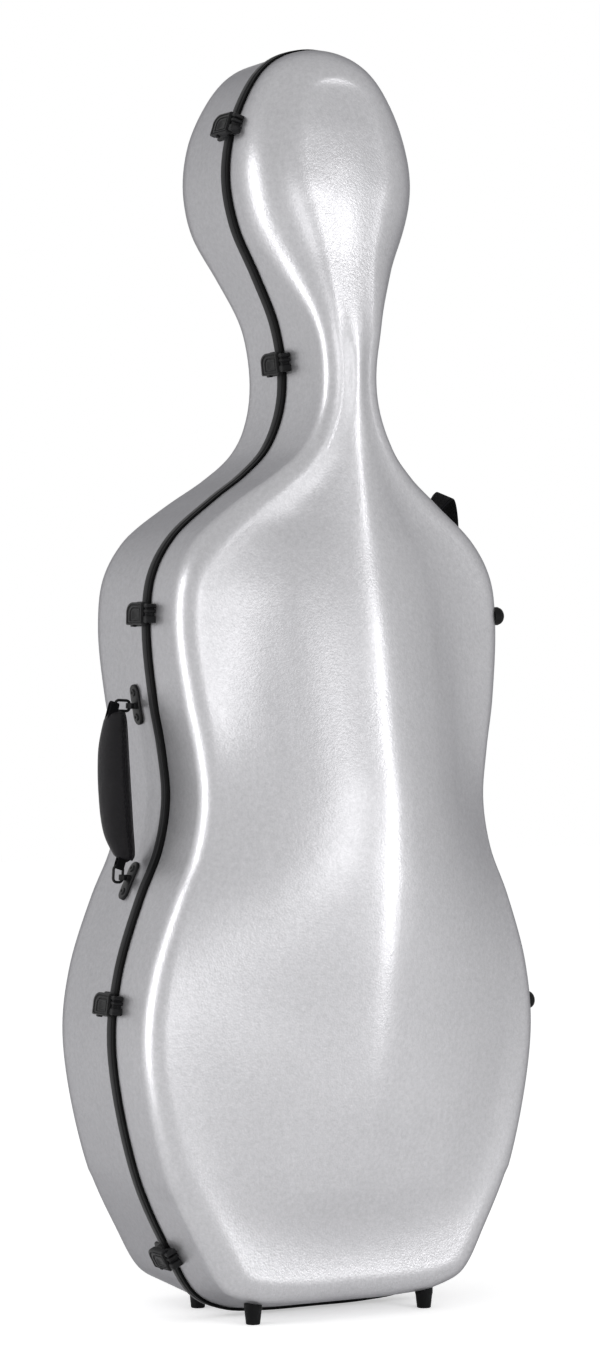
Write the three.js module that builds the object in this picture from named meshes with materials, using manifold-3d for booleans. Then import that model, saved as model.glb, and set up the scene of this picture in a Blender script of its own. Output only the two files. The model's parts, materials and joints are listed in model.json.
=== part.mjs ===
// A hard case for a cello, standing upright on its feet with the lid towards -Y.
// Lengths are millimetres. While it is built, X = 0 is the plane of symmetry, Y = 0 the seam
// between the two shells and Z = 0 the floor. The finished group is then moved so that its
// origin is the middle of the base of its own box.
import * as THREE from "three";
import Module from "manifold-3d";
import { mergeVertices } from "three/addons/utils/BufferGeometryUtils.js";

const wasm = await Module();
wasm.setup();

// Driving sizes of the case
const caseHeight = 1331;
const lowerBoutWidth = 472;
const upperBoutWidth = 392;
const waistInset = 23;
const waistWidth = upperBoutWidth - 2 * waistInset;
const neckWidth = 68;
const headWidth = 204;
const seamHeight = 4.5;
const wall = 3;
const foam = 12;
const gap = 0.3;

// Depth of the lid and of the back shell, from the seam out to the flat of each face
const lidBottomDepth = 92;
const lidLowerDepth = 87;
const lidWaistDepth = 91;
const lidUpperDepth = 78;
const lidNeckDepth = 95;
const lidHeadDepth = 80;
const lidTopDepth = 57;
const bridgeRise = 76;
const lidCrown = 4;
const backLowerDepth = 150;
const backWaistDepth = 143;
const backUpperDepth = 146;
const backNeckDepth = 94;
const backHeadDepth = 134;
const backTopDepth = 122;
const backCrown = 6;

// Radii of the rounded shoulders between wall and face
const lidShoulder = 28;
const lidNeckShoulder = 19;
const lidHeadShoulder = 57;
const lidTopShoulder = 46;
const backShoulder = 36;
const backNeckShoulder = 24;
const backHeadShoulder = 42;
const draftShare = 0.02;
const lidBottomDraftShare = 0.2;
const backBottomDraftShare = 0.09;
const draftEndShare = 0.1;

// The two rims of the seam and the seal
const backRimDepth = 10;
const lidRimDepth = 6.5;
const rimProud = 2.5;
const rimInner = 7;
const sealWidth = 3;

// Latches
const latchShares = [0.934, 0.7494, 0.5496, 0.2451, 0.0478];
const latchWidth = 25;
const latchSole = 5.3;
const leverThickness = 6.4;
const latchPinRadius = 1.6;
const latchPinReach = 11;
const latchTail = 6;
const latchNose = 3;
const keeperReach = 18.5;
const latchLugWidth = 8;
const latchLugRadius = 3.1;
const leverPinShare = 0.45;

// Lid hinges
const hingeShares = [0.541, 0.2111];
const hingeStandOff = 11.5;
const hingeLength = 50;
const knuckleRadius = 4.2;
const lidKnuckleLength = 18;
const hingePinRadius = 1.8;
const leafReach = 26;
const leafThickness = 3;

// Feet and bumpers
const footTopRadius = 9.5;
const footBaseRadius = 7.5;
const footTaper = 16;
const footSpread = 104;
const footReach = 60;
const bumperRadius = 10;
const bumperRise = 9.5;
const bumperReach = 62;
const bumperShares = [0.549, 0.238];

// Carrying handle on the long side
const bracketShares = [0.4782, 0.3396];
const bracketLength = 43;
const bracketWidth = 17;
const bracketThickness = 3;
const bracketReach = 41;
const screwHeadRadius = 4;
const screwHeadRise = 1.2;
const eyeStandOff = 9.4;
const eyeLength = 6;
const eyeRadius = 4.2;
const ringLength = 20;
const ringWidth = 14;
const ringWire = 3;
const gripDepth = 38;
const gripThickness = 18;
const knotCover = 4.5;
const knotThickness = 12;

// Grab strap on the shoulder
const strapShare = 0.6085;
const strapWidth = 30;
const strapReach = 21;
const strapThickness = 3;
const strapSpan = 62;
const strapRise = 42;
const strapLeanShare = 0.75;
const anchorLength = 16;
const anchorRise = 2.5;

// Pieces inside
const cradleShare = 0.655;
const cradleHeight = 40;
const cradleFront = 22;
const cradleNotch = 23;
const neckStrapWidth = 26;
const neckStrapThickness = 2;
const neckStrapLength = 92;
const endBlockWidth = 150;
const endBlockHeight = 78;
const endBlockFront = 12;
const endPinNotch = 16;
const padWidth = 190;
const padHeight = 60;
const padThickness = 22;
const padShares = [0.52, 0.17];
const bowSpread = 112;
const bowClipShare = 0.2;
const bowClipWidth = 26;
const bowClipHeight = 34;
const bowClipThickness = 12;
const toggleLength = 46;
const toggleWidth = 11;
const toggleThickness = 4;
const toggleStudRadius = 3;
const lidPadShare = 0.56;
const lidPadWidth = 250;
const lidPadHeight = 90;
const lidPadThickness = 10;

// The outline of the seam, as shares of the case's height and of each bout's half width
const lowerBoutShares = [
  [0, 0],
  [0.0004, 0.27],
  [0.0041, 0.462],
  [0.0165, 0.6],
  [0.0535, 0.731],
  [0.1134, 0.887],
  [0.2111, 1],
  [0.269, 0.97],
  [0.3268, 0.864],
];
const waistShares = [
  [0.3651, 1.052],
  [0.4042, 1],
  [0.4433, 1.029],
];
const upperBoutShares = [
  [0.4823, 0.959],
  [0.541, 1],
  [0.58, 0.969],
  [0.6097, 0.852],
  [0.6401, 0.607],
  [0.6604, 0.418],
];
const neckShares = [
  [0.6807, 1.618],
  [0.71, 1.12],
  [0.7408, 1],
  [0.7806, 1.279],
];
const headShares = [
  [0.819, 0.652],
  [0.8573, 0.902],
  [0.8963, 1],
  [0.9369, 0.915],
  [0.9782, 0.637],
  [0.994, 0.37],
  [1, 0],
];

// How the faces change along the height: a share of the height, then the size there
const lidDepthStations = [
  [0, lidBottomDepth],
  [0.21, lidLowerDepth],
  [0.362, lidWaistDepth],
  [0.42, lidWaistDepth],
  [0.56, lidUpperDepth],
  [0.63, lidUpperDepth],
  [0.69, lidNeckDepth],
  [0.76, lidNeckDepth],
  [0.83, lidHeadDepth],
  [0.88, lidHeadDepth],
  [1, lidTopDepth],
];
const lidShoulderStations = [
  [0, lidShoulder],
  [0.6, lidShoulder],
  [0.7, lidNeckShoulder],
  [0.76, lidNeckShoulder],
  [0.86, lidHeadShoulder],
  [0.92, lidHeadShoulder],
  [1, lidTopShoulder],
];
const backDepthStations = [
  [0, backLowerDepth],
  [0.21, backLowerDepth],
  [0.4, backWaistDepth],
  [0.54, backUpperDepth],
  [0.61, backUpperDepth],
  [0.7, backNeckDepth],
  [0.77, backNeckDepth],
  [0.87, backHeadDepth],
  [0.93, backHeadDepth],
  [1, backTopDepth],
];
const backShoulderStations = [
  [0, backShoulder],
  [0.6, backShoulder],
  [0.7, backNeckShoulder],
  [0.77, backNeckShoulder],
  [0.87, backHeadShoulder],
  [1, backHeadShoulder],
];

// The raised ridge over the bridge: its rise, and where its foot and its edge lie across the face
const riseShares = [
  [0, 0],
  [0.06, 0],
  [0.122, 0.085],
  [0.18, 0.38],
  [0.2425, 0.76],
  [0.3, 0.91],
  [0.362, 0.99],
  [0.4, 1],
  [0.42, 0.975],
  [0.483, 0.855],
  [0.546, 0.76],
  [0.609, 0.5],
  [0.66, 0.235],
  [0.7, 0],
  [1, 0],
];
const footShares = [
  [0, 0.6],
  [0.617, 0.6],
  [0.69, 0.75],
  [1, 0.75],
];
const ridgeShares = [
  [0, 0.13],
  [0.617, 0.13],
  [0.69, 0.4],
  [1, 0.4],
];

// The grip's section along its length: a share of the length, then its inner and outer edge and
// its thickness there, as shares of the grip's depth and thickness
const gripShares = [
  [0, -0.22, 0.06, 0.3],
  [0.05, -0.33, 0.33, 0.62],
  [0.2, -0.26, 0.7, 0.94],
  [0.45, -0.13, 0.91, 1],
  [0.7, 0, 0.99, 1],
  [0.95, 0.14, 0.81, 0.8],
  [1, 0.2, 0.68, 0.45],
];

// Where the bands of the lid's raised ridge lie in its rise
const slopeRiseShare = 0.15;
const footRiseShare = 0.4;
const flankRiseShare = 0.69;
const ridgeRiseShare = 0.88;
const spineLowShare = 0.15;
const spineHighShare = 0.895;

// Counts of steps round the curves, and along each stretch of the seam
const stretches = [
  { shares: lowerBoutShares, width: lowerBoutWidth, steps: 11 },
  { shares: waistShares, width: waistWidth, steps: 3 },
  { shares: upperBoutShares, width: upperBoutWidth, steps: 7 },
  { shares: neckShares, width: neckWidth, steps: 4 },
  { shares: headShares, width: headWidth, steps: 8 },
];
const stepsPerPoint = 30;
const outerArcSteps = 3;
const innerArcSteps = 2;
const roundSides = 16;
const pinSides = 10;
const gripSides = 12;
const strapSteps = 10;
const strapSquareness = 0.7;
const bendLength = 90;

// Value of a row of stations at a share of the height, by a smooth curve through them
function alongHeight(stations, share) {
  const last = stations.length - 1;
  if (share <= stations[0][0]) return stations[0][1];
  if (share >= stations[last][0]) return stations[last][1];
  const k = stations.findIndex((row) => row[0] > share) - 1;
  const [h0, v0] = stations[k];
  const [h1, v1] = stations[k + 1];
  const slope = (a, b) => (stations[b][1] - stations[a][1]) / (stations[b][0] - stations[a][0]);
  const level = (a, b, c) => (slope(a, b) * slope(b, c) <= 0 ? 0 : slope(a, c));
  const m0 = k > 0 ? level(k - 1, k, k + 1) : 0;
  const m1 = k + 1 < last ? level(k, k + 1, k + 2) : 0;
  const run = h1 - h0;
  const t = (share - h0) / run;
  const rise = v1 - v0;
  const a = m0 * run - rise;
  const b = rise - m1 * run;
  return v0 + rise * t + t * (1 - t) * (a * (1 - t) + b * t);
}

// The seam's smooth closed curve, and how much of it leads up to the top
function seamCurve() {
  const rows = stretches.flatMap(({ shares, width }) =>
    shares.map(([h, w]) => [(w * width) / 2, h * caseHeight]),
  );
  const right = rows.map(([x, z]) => new THREE.Vector3(x, 0, seamHeight + z));
  const left = rows.slice(1, -1).reverse();
  const mirrored = left.map(([x, z]) => new THREE.Vector3(-x, 0, seamHeight + z));
  const curve = new THREE.CatmullRomCurve3([...right, ...mirrored], true, "centripetal");
  return { curve, points: rows.length - 1, top: (rows.length - 1) / (right.length + mirrored.length) };
}

// One place on the seam: its point, its inward normal and its share of the height
function seamPlace(curve, t) {
  const point = curve.getPoint(t);
  const tangent = curve.getTangent(t);
  const share = (point.z - seamHeight) / caseHeight;
  return { x: point.x, z: point.z, nx: -tangent.z, nz: tangent.x, share };
}

const seam = seamCurve();
const fineSteps = seam.points * stepsPerPoint;
const finePlaces = Array.from({ length: fineSteps + 1 }, (_, i) =>
  seamPlace(seam.curve, (seam.top * i) / fineSteps),
);

// Places along one stretch, closer together where it bends more
function spacedPlaces(places, steps) {
  const runs = [0];
  for (let i = 1; i < places.length; i += 1) {
    const a = places[i - 1];
    const b = places[i];
    const turn = Math.hypot(b.nx - a.nx, b.nz - a.nz);
    runs.push(runs[i - 1] + Math.hypot(b.x - a.x, b.z - a.z) + turn * bendLength);
  }
  const whole = runs[places.length - 1];
  return Array.from({ length: steps }, (_, k) => ({
    ...places[runs.findIndex((run) => run * steps >= whole * (k + 1))],
  }));
}

function seamOutline() {
  const right = [{ ...finePlaces[0] }];
  let last = -1;
  for (const { shares, steps } of stretches) {
    const first = Math.max(last, 0);
    last += shares.length;
    const places = finePlaces.slice(first * stepsPerPoint, last * stepsPerPoint + 1);
    right.push(...spacedPlaces(places, steps));
  }
  Object.assign(right[0], { x: 0, nx: 0, nz: 1 });
  Object.assign(right[right.length - 1], { x: 0, nx: 0, nz: -1 });
  const left = right.slice(1, -1).reverse();
  return [...right, ...left.map((p) => ({ ...p, x: -p.x, nx: -p.nx }))];
}
const outline = seamOutline();

// A closed solid from points and triangles, turned so that its faces point outwards
function closedSolid(points, triangles) {
  const geometry = new THREE.BufferGeometry().setFromPoints(points);
  geometry.setIndex(triangles);
  return solidOf(geometry);
}

function solidOf(geometry) {
  const bare = geometry.clone();
  bare.deleteAttribute("normal");
  bare.deleteAttribute("uv");
  const merged = mergeVertices(bare);
  const index = merged.index.array;
  const kept = [];
  for (let i = 0; i < index.length; i += 3) {
    const [a, b, c] = [index[i], index[i + 1], index[i + 2]];
    if (a !== b && b !== c && c !== a) kept.push(a, b, c);
  }
  const vertProperties = new Float32Array(merged.attributes.position.array);
  const build = (list) =>
    new wasm.Manifold(new wasm.Mesh({ numProp: 3, vertProperties, triVerts: new Uint32Array(list) }));
  const solid = build(kept);
  if (solid.volume() > 0) return solid;
  return build(kept.map((_, i) => kept[i - (i % 3) + [0, 2, 1][i % 3]]));
}

function geometryOf(solid) {
  const mesh = solid.getMesh();
  const geometry = new THREE.BufferGeometry();
  geometry.setAttribute("position", new THREE.BufferAttribute(mesh.vertProperties, 3));
  geometry.setIndex(new THREE.BufferAttribute(mesh.triVerts, 1));
  const flat = geometry.toNonIndexed();
  flat.computeVertexNormals();
  return flat;
}

// A skin through rings of equal length, each joined to the next. The diagonals of the two halves
// mirror each other, and the first strips, which run towards the edge, take the other diagonal.
function joinRings(rings, closed, turnedStrips = 0) {
  const count = rings[0].length;
  const triangles = [];
  const strips = closed ? rings.length : rings.length - 1;
  for (let k = 0; k < strips; k += 1) {
    const next = (k + 1) % rings.length;
    for (let i = 0; i < count; i += 1) {
      const j = (i + 1) % count;
      const [a, b] = [k * count + i, k * count + j];
      const [c, d] = [next * count + j, next * count + i];
      if (i < count / 2 === k < turnedStrips) triangles.push(a, b, c, a, c, d);
      else triangles.push(a, b, d, b, c, d);
    }
  }
  return closedSolid(rings.flat(), triangles);
}

// Moulded face shapes: where the wall ends, how its shoulder turns and how the face rises
const lidForm = {
  side: -1,
  depths: lidDepthStations,
  shoulders: lidShoulderStations,
  rise: bridgeRise,
  crown: lidCrown,
  bottomDraft: lidBottomDraftShare,
  bands: [
    { reach: (h) => (1 + alongHeight(footShares, h)) / 2, rise: slopeRiseShare },
    { reach: (h) => alongHeight(footShares, h), rise: footRiseShare },
    {
      reach: (h) => (alongHeight(footShares, h) + alongHeight(ridgeShares, h)) / 2,
      rise: flankRiseShare,
    },
    { reach: (h) => alongHeight(ridgeShares, h), rise: ridgeRiseShare },
  ],
};
const backForm = {
  side: 1,
  depths: backDepthStations,
  shoulders: backShoulderStations,
  rise: 0,
  crown: backCrown,
  bottomDraft: backBottomDraftShare,
  bands: [{ reach: () => 0.5, rise: 0 }],
};

// Sizes of the moulded section at one place of the seam
function sectionAt(form, place) {
  const depth = alongHeight(form.depths, place.share);
  const shoulder = alongHeight(form.shoulders, place.share);
  const bottom = Math.max(0, place.nz) ** 2 * (place.share < draftEndShare ? 1 : 0);
  const draft = draftShare + (form.bottomDraft - draftShare) * bottom;
  return { depth, shoulder, draft, wallEnd: depth - shoulder };
}

// The height on the middle line that a height on the edge is drawn in to
function spineHeight(z) {
  const low = seamHeight + spineLowShare * caseHeight;
  const high = seamHeight + spineHighShare * caseHeight;
  return THREE.MathUtils.clamp(z, low, high);
}

// Rings of one face of a moulding, from its edge at the seam to its middle line.
// inset is how far the surface lies inside the outer one.
function skinRings(form, inset, edge, arcSteps, bands) {
  const at = (p, offset, depth) =>
    new THREE.Vector3(p.x + p.nx * offset, form.side * depth, p.z + p.nz * offset);
  const rings = [outline.map((p) => at(p, inset + sectionAt(form, p).draft * edge, edge))];
  for (let k = 0; k <= arcSteps; k += 1) {
    const angle = (k / arcSteps) * (Math.PI / 2);
    rings.push(
      outline.map((p) => {
        const s = sectionAt(form, p);
        const radius = Math.max(s.shoulder - inset, gap);
        const offset = s.draft * s.wallEnd + s.shoulder - radius * Math.cos(angle);
        return at(p, offset, s.wallEnd + s.shoulder - inset - radius * (1 - Math.sin(angle)));
      }),
    );
  }
  const face = rings[rings.length - 1];
  const spine = face.map((p) => spineHeight(p.z));
  const inner = (reachOf, riseShare) =>
    face.map((p, i) => {
      const share = (spine[i] - seamHeight) / caseHeight;
      const reach = reachOf(share);
      const middle = alongHeight(form.depths, share) - inset;
      const depth = THREE.MathUtils.lerp(middle, Math.abs(p.y), reach);
      const rise = form.rise * alongHeight(riseShares, share) * riseShare;
      const y = form.side * (depth + rise + form.crown * (1 - reach * reach));
      return new THREE.Vector3(p.x * reach, y, THREE.MathUtils.lerp(spine[i], p.z, reach));
    });
  bands.forEach((band) => rings.push(inner(band.reach, band.rise)));
  rings.push(inner(() => 0, 1));
  return rings;
}

// A moulding with a wall between two skins
function moulding(form, outer, inner, edge, outerArc, innerBands) {
  const outside = skinRings(form, outer, edge, outerArc, form.bands);
  const inside = skinRings(form, inner, edge, innerArcSteps, innerBands);
  return joinRings([...outside.reverse(), ...inside], false, outside.length - 1);
}

// Everything inside a skin, closed by a flat face at the seam
function filled(form, inset, edge, arcSteps, bands) {
  const rings = skinRings(form, inset, edge, arcSteps, bands);
  const mouth = rings[0].map((p) => new THREE.Vector3(0, p.y, spineHeight(p.z)));
  return joinRings([mouth, ...rings], false);
}

// A band round the seam between two offsets and two places across it
function seamBand(inside, outside, low, high) {
  const at = (offset, y) =>
    outline.map((p) => new THREE.Vector3(p.x + p.nx * offset, y, p.z + p.nz * offset));
  return joinRings([at(outside, low), at(outside, high), at(inside, high), at(inside, low)], true);
}

// The outside of the closed case and the room inside each lining, used to seat pieces
const seatShell = wasm.Manifold.union([
  filled(lidForm, -gap, -gap, outerArcSteps, lidForm.bands),
  filled(backForm, -gap, -gap, outerArcSteps, backForm.bands),
  seamBand(rimInner, -rimProud - gap, -lidRimDepth - gap, backRimDepth + gap),
]);
const liningInset = wall + gap + foam;
const liningBands = [lidForm.bands[1], lidForm.bands[3]];
const backRoom = filled(backForm, liningInset + gap, gap, innerArcSteps, backForm.bands);
const lidRoom = filled(lidForm, liningInset + gap, gap, innerArcSteps, liningBands);

// Plain solids
function block(x0, x1, y0, y1, z0, z1) {
  const geometry = new THREE.BoxGeometry(x1 - x0, y1 - y0, z1 - z0);
  geometry.translate((x0 + x1) / 2, (y0 + y1) / 2, (z0 + z1) / 2);
  return solidOf(geometry);
}

// A round bar along X, Y or Z
function bar(axis, radius, from, to, a, b, sides) {
  const geometry = new THREE.CylinderGeometry(radius, radius, to - from, sides);
  if (axis === "x") geometry.rotateZ(Math.PI / 2);
  if (axis === "z") geometry.rotateX(Math.PI / 2);
  const middle = (from + to) / 2;
  if (axis === "x") geometry.translate(middle, a, b);
  if (axis === "y") geometry.translate(a, middle, b);
  if (axis === "z") geometry.translate(a, b, middle);
  return solidOf(geometry);
}

// A flat plate of a given outline, between two heights
function plate(shape, low, high, steps) {
  const geometry = new THREE.ExtrudeGeometry(shape, {
    depth: high - low,
    bevelEnabled: false,
    curveSegments: steps,
  });
  geometry.translate(0, 0, low);
  return solidOf(geometry);
}

// A long shape with round ends, along X
function slotShape(length, width) {
  const shape = new THREE.Shape();
  const straight = (length - width) / 2;
  shape.absarc(straight, 0, width / 2, -Math.PI / 2, Math.PI / 2, false);
  shape.absarc(-straight, 0, width / 2, Math.PI / 2, (3 * Math.PI) / 2, false);
  shape.closePath();
  return shape;
}

// Frames that pieces are placed in: z outwards from the wall, y towards the back
function frameAt(origin, out) {
  const across = new THREE.Vector3(0, 1, 0);
  const along = new THREE.Vector3().crossVectors(across, out).normalize();
  return new THREE.Matrix4().makeBasis(along, across, out).setPosition(origin);
}

// The place on the seam at a share of the height, on one side of the case
function wallFrame(share, side, y) {
  const p = finePlaces.find((place) => place.share >= share);
  const inward = draftShare * Math.abs(y);
  const x = side * (p.x + p.nx * inward);
  const out = new THREE.Vector3(-side * p.nx, 0, -p.nz);
  return frameAt(new THREE.Vector3(x, y, p.z + p.nz * inward), out);
}

const seated = (solid, frame) =>
  solid.subtract(seatShell.transform(frame.clone().invert().elements));

// Colours and finishes
const finishes = {
  shell: { color: 0xc4c4c8, roughness: 0.4, metalness: 0.35 },
  backRim: { color: 0x4a4a4c, roughness: 0.5, metalness: 0.1 },
  lidRim: { color: 0x141415, roughness: 0.45, metalness: 0 },
  seal: { color: 0x1c1c1e, roughness: 0.8, metalness: 0 },
  latch: { color: 0x3a3a3c, roughness: 0.5, metalness: 0 },
  steel: { color: 0xa8a8aa, roughness: 0.35, metalness: 0.9 },
  foot: { color: 0x1b1b1c, roughness: 0.7, metalness: 0 },
  bracket: { color: 0x262627, roughness: 0.45, metalness: 0.4 },
  leather: { color: 0x3a383c, roughness: 0.55, metalness: 0 },
  webbing: { color: 0x17171a, roughness: 0.85, metalness: 0 },
  lining: { color: 0x2b2b30, roughness: 0.95, metalness: 0 },
  pad: { color: 0x222226, roughness: 0.95, metalness: 0 },
};
const materials = Object.fromEntries(
  Object.entries(finishes).map(([name, finish]) => [name, new THREE.MeshStandardMaterial(finish)]),
);

const cello_case = new THREE.Group();
const standing = new THREE.Group();
cello_case.add(standing);

function addPiece(name, solid, finish, frame) {
  const mesh = new THREE.Mesh(geometryOf(solid), materials[finish]);
  mesh.name = name;
  if (frame) frame.decompose(mesh.position, mesh.quaternion, mesh.scale);
  standing.add(mesh);
}

// Shells, linings, rims and seal
const lidEdge = lidRimDepth + gap;
const backEdge = backRimDepth + gap;
const shellOf = (form, edge) => moulding(form, 0, wall, edge, outerArcSteps, form.bands);
const liningOf = (form, edge, bands) =>
  moulding(form, wall + gap, liningInset, edge, innerArcSteps, bands);
addPiece("back_shell", shellOf(backForm, backEdge), "shell");
addPiece("lid_shell", shellOf(lidForm, lidEdge), "shell");
addPiece("back_lining", liningOf(backForm, backEdge, backForm.bands), "lining");
addPiece("lid_lining", liningOf(lidForm, lidEdge, liningBands), "lining");
addPiece("back_rim", seamBand(rimInner, -rimProud, gap / 2, backRimDepth), "backRim");
addPiece("lid_rim", seamBand(rimInner, -rimProud, -lidRimDepth, -gap / 2), "lidRim");
addPiece(
  "seam_seal",
  seamBand(rimInner + gap + sealWidth, rimInner + gap, -lidRimDepth, -gap),
  "seal",
);

// Latches: a base and a keeper either side of the seam, and a lever on a pin
function latchOutline(front, back) {
  const shape = new THREE.Shape();
  const half = latchWidth / 2;
  shape.moveTo(half, front);
  shape.lineTo(half, back - half);
  shape.absarc(0, back - half, half, 0, Math.PI, false);
  shape.lineTo(-half, front);
  shape.closePath();
  return shape;
}

function addLatch(number, share) {
  const frame = wallFrame(share, -1, 0);
  const half = latchWidth / 2;
  const root = -latchSole;
  const pinY = backRimDepth + latchPinReach;
  const back = pinY + latchTail;
  const leverLow = latchSole + gap + gap;
  const leverTop = leverLow + leverThickness;
  const pinZ = leverLow + leverThickness * leverPinShare;
  const bore = bar("x", latchPinRadius + gap, -latchWidth, latchWidth, pinY, pinZ, pinSides);

  const lugHalf = latchLugWidth / 2;
  const lugLow = pinY - latchLugRadius;
  const lugBlock = block(-lugHalf, lugHalf, lugLow, pinY + latchLugRadius, root, pinZ);
  const lugRound = bar("x", latchLugRadius, -lugHalf, lugHalf, pinY, pinZ, roundSides);
  const tailSweep = Math.hypot(latchTail, leverTop - pinZ);
  const heelTop = pinZ - tailSweep - gap - gap;
  const soleEnd = pinY - tailSweep - gap - gap;
  const heel = plate(latchOutline(backRimDepth, back), root, heelTop, roundSides / 2);
  const sole = block(-half, half, gap, soleEnd, root, latchSole);
  const base = wasm.Manifold.union([sole, heel, lugBlock, lugRound]).subtract(bore);
  addPiece(`latch_base_${number}`, seated(base, frame), "latch", frame);

  const nose = lidRimDepth + latchNose;
  const slack = gap + gap;
  const arm = plate(latchOutline(-nose, back), leverLow, leverTop, roundSides / 2);
  const slotLow = lugLow - slack;
  const slot = block(-lugHalf - slack, lugHalf + slack, slotLow, back + gap, 0, leverTop + gap);
  addPiece(`latch_lever_${number}`, arm.subtract(slot).subtract(bore), "latch", frame);

  const pinEnd = half - gap;
  const pin = bar("x", latchPinRadius, -pinEnd, pinEnd, pinY, pinZ, pinSides);
  addPiece(`latch_pin_${number}`, pin, "steel", frame);

  const front = -lidRimDepth - keeperReach;
  const step = block(-half, half, front, -gap, root, latchSole);
  const stop = block(-half, half, front, -nose - slack, root, leverTop);
  addPiece(`latch_keeper_${number}`, seated(step.add(stop), frame), "latch", frame);
}
latchShares.forEach((share, i) => addLatch(i + 1, share));

// Hinges: both turn about one straight line that stands off the right-hand wall
const hingeEnds = hingeShares.map((share) =>
  new THREE.Vector3(0, 0, hingeStandOff).applyMatrix4(wallFrame(share, 1, 0)),
);
const hingeLine = new THREE.Vector3().subVectors(hingeEnds[0], hingeEnds[1]).normalize();
const hingeOut = new THREE.Vector3().crossVectors(new THREE.Vector3(0, 1, 0), hingeLine);

function addHinge(name, end) {
  const frame = frameAt(end, hingeOut);
  const half = hingeLength / 2;
  const middle = lidKnuckleLength / 2;
  const bore = bar("x", hingePinRadius + gap, -hingeLength, hingeLength, 0, 0, pinSides);
  const low = -hingeStandOff - knuckleRadius;
  const leafTop = leafThickness + rimProud - hingeStandOff;
  const knuckle = (x0, x1) => bar("x", knuckleRadius, x0, x1, 0, 0, roundSides);
  const backLeaf = wasm.Manifold.union([
    knuckle(middle + gap, half),
    knuckle(-half, -middle - gap),
    block(middle + gap, half, gap, knuckleRadius, low, 0),
    block(-half, -middle - gap, gap, knuckleRadius, low, 0),
    block(-half, half, gap, leafReach, low, leafTop),
  ]);
  const lidLeaf = wasm.Manifold.union([
    knuckle(-middle, middle),
    block(-middle, middle, -knuckleRadius, -gap, low, 0),
    block(-half, half, -leafReach, -gap, low, leafTop),
  ]);
  addPiece(`${name}_back_leaf`, seated(backLeaf.subtract(bore), frame), "bracket", frame);
  addPiece(`${name}_lid_leaf`, seated(lidLeaf.subtract(bore), frame), "bracket", frame);
  addPiece(`${name}_pin`, bar("x", hingePinRadius, -half, half, 0, 0, pinSides), "steel", frame);
}
addHinge("upper_hinge", hingeEnds[0]);
addHinge("lower_hinge", hingeEnds[1]);

// Feet under both shells
function addFoot(name, x, y) {
  const sunk = footTaper * 2;
  const profile = [
    new THREE.Vector2(0, 0),
    new THREE.Vector2(footBaseRadius, 0),
    new THREE.Vector2(footTopRadius, footTaper),
    new THREE.Vector2(footTopRadius, sunk),
    new THREE.Vector2(0, sunk),
  ];
  const geometry = new THREE.LatheGeometry(profile, roundSides);
  geometry.rotateX(Math.PI / 2);
  const frame = new THREE.Matrix4().setPosition(x, y, 0);
  addPiece(name, seated(solidOf(geometry), frame), "foot", frame);
}
addFoot("front_foot_left", -footSpread, -footReach);
addFoot("front_foot_right", footSpread, -footReach);
addFoot("back_foot_left", -footSpread, footReach);
addFoot("back_foot_right", footSpread, footReach);

// Round bumpers on the hinge side, two on each shell, domed over the upper half of their rise
function addBumper(name, share, y) {
  const frame = wallFrame(share, 1, y);
  const profile = [
    new THREE.Vector2(0, -bumperRadius),
    new THREE.Vector2(bumperRadius, -bumperRadius),
  ];
  for (let k = 0; k <= outerArcSteps; k += 1) {
    const angle = (k / outerArcSteps) * (Math.PI / 2);
    const reach = k === outerArcSteps ? 0 : bumperRadius * Math.cos(angle);
    profile.push(new THREE.Vector2(reach, (bumperRise * (1 + Math.sin(angle))) / 2));
  }
  const geometry = new THREE.LatheGeometry(profile, roundSides);
  geometry.rotateX(Math.PI / 2);
  addPiece(name, seated(solidOf(geometry), frame), "foot", frame);
}
addBumper("lid_bumper_upper", bumperShares[0], -bumperReach);
addBumper("lid_bumper_lower", bumperShares[1], -bumperReach);
addBumper("back_bumper_upper", bumperShares[0], bumperReach);
addBumper("back_bumper_lower", bumperShares[1], bumperReach);

// Carrying handle: two brackets with eyes, a ring in each and a padded grip held by the rings.
// It turns on the line through both eyes. The lower ring lies along that line, the upper across.
const bracketFrames = bracketShares.map((share) => wallFrame(share, -1, bracketReach));
const eyes = bracketFrames.map((frame) => new THREE.Vector3(0, 0, eyeStandOff).applyMatrix4(frame));
const handleLine = new THREE.Vector3().subVectors(eyes[0], eyes[1]).normalize();
const handleOut = new THREE.Vector3().crossVectors(handleLine, new THREE.Vector3(0, 1, 0));
const handleSpan = eyes[0].distanceTo(eyes[1]);
const lowerRingStart = -eyeLength / 2 - gap - gap - ringWire;

function addBracket(name, frame, eye) {
  const outlineShape = slotShape(bracketLength, bracketWidth);
  const seat = plate(outlineShape, -wall, bracketThickness, roundSides / 2);
  const screwPlace = (bracketLength - bracketWidth) / 2;
  const screwTop = bracketThickness + screwHeadRise;
  const screw = (x) => bar("z", screwHeadRadius, 0, screwTop, x, 0, pinSides);
  const half = eyeLength / 2;
  const boreRadius = ringWire * Math.SQRT1_2 + gap;
  const stem = block(-half, half, -eyeRadius, eyeRadius, -eyeStandOff - wall, 0);
  const lug = stem.add(bar("x", eyeRadius, -half, half, 0, 0, roundSides));
  const toBracket = frame.clone().invert().multiply(frameAt(eye, handleOut));
  const bore = bar("x", boreRadius, -eyeLength, eyeLength, 0, 0, pinSides);
  const mount = wasm.Manifold.union([seat, screw(-screwPlace), screw(screwPlace)]);
  const whole = mount.add(lug.transform(toBracket.elements));
  const bored = whole.subtract(bore.transform(toBracket.elements));
  addPiece(name, seated(bored, frame), "bracket", frame);
}
addBracket("handle_bracket_upper", bracketFrames[0], eyes[0]);
addBracket("handle_bracket_lower", bracketFrames[1], eyes[1]);

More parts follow.
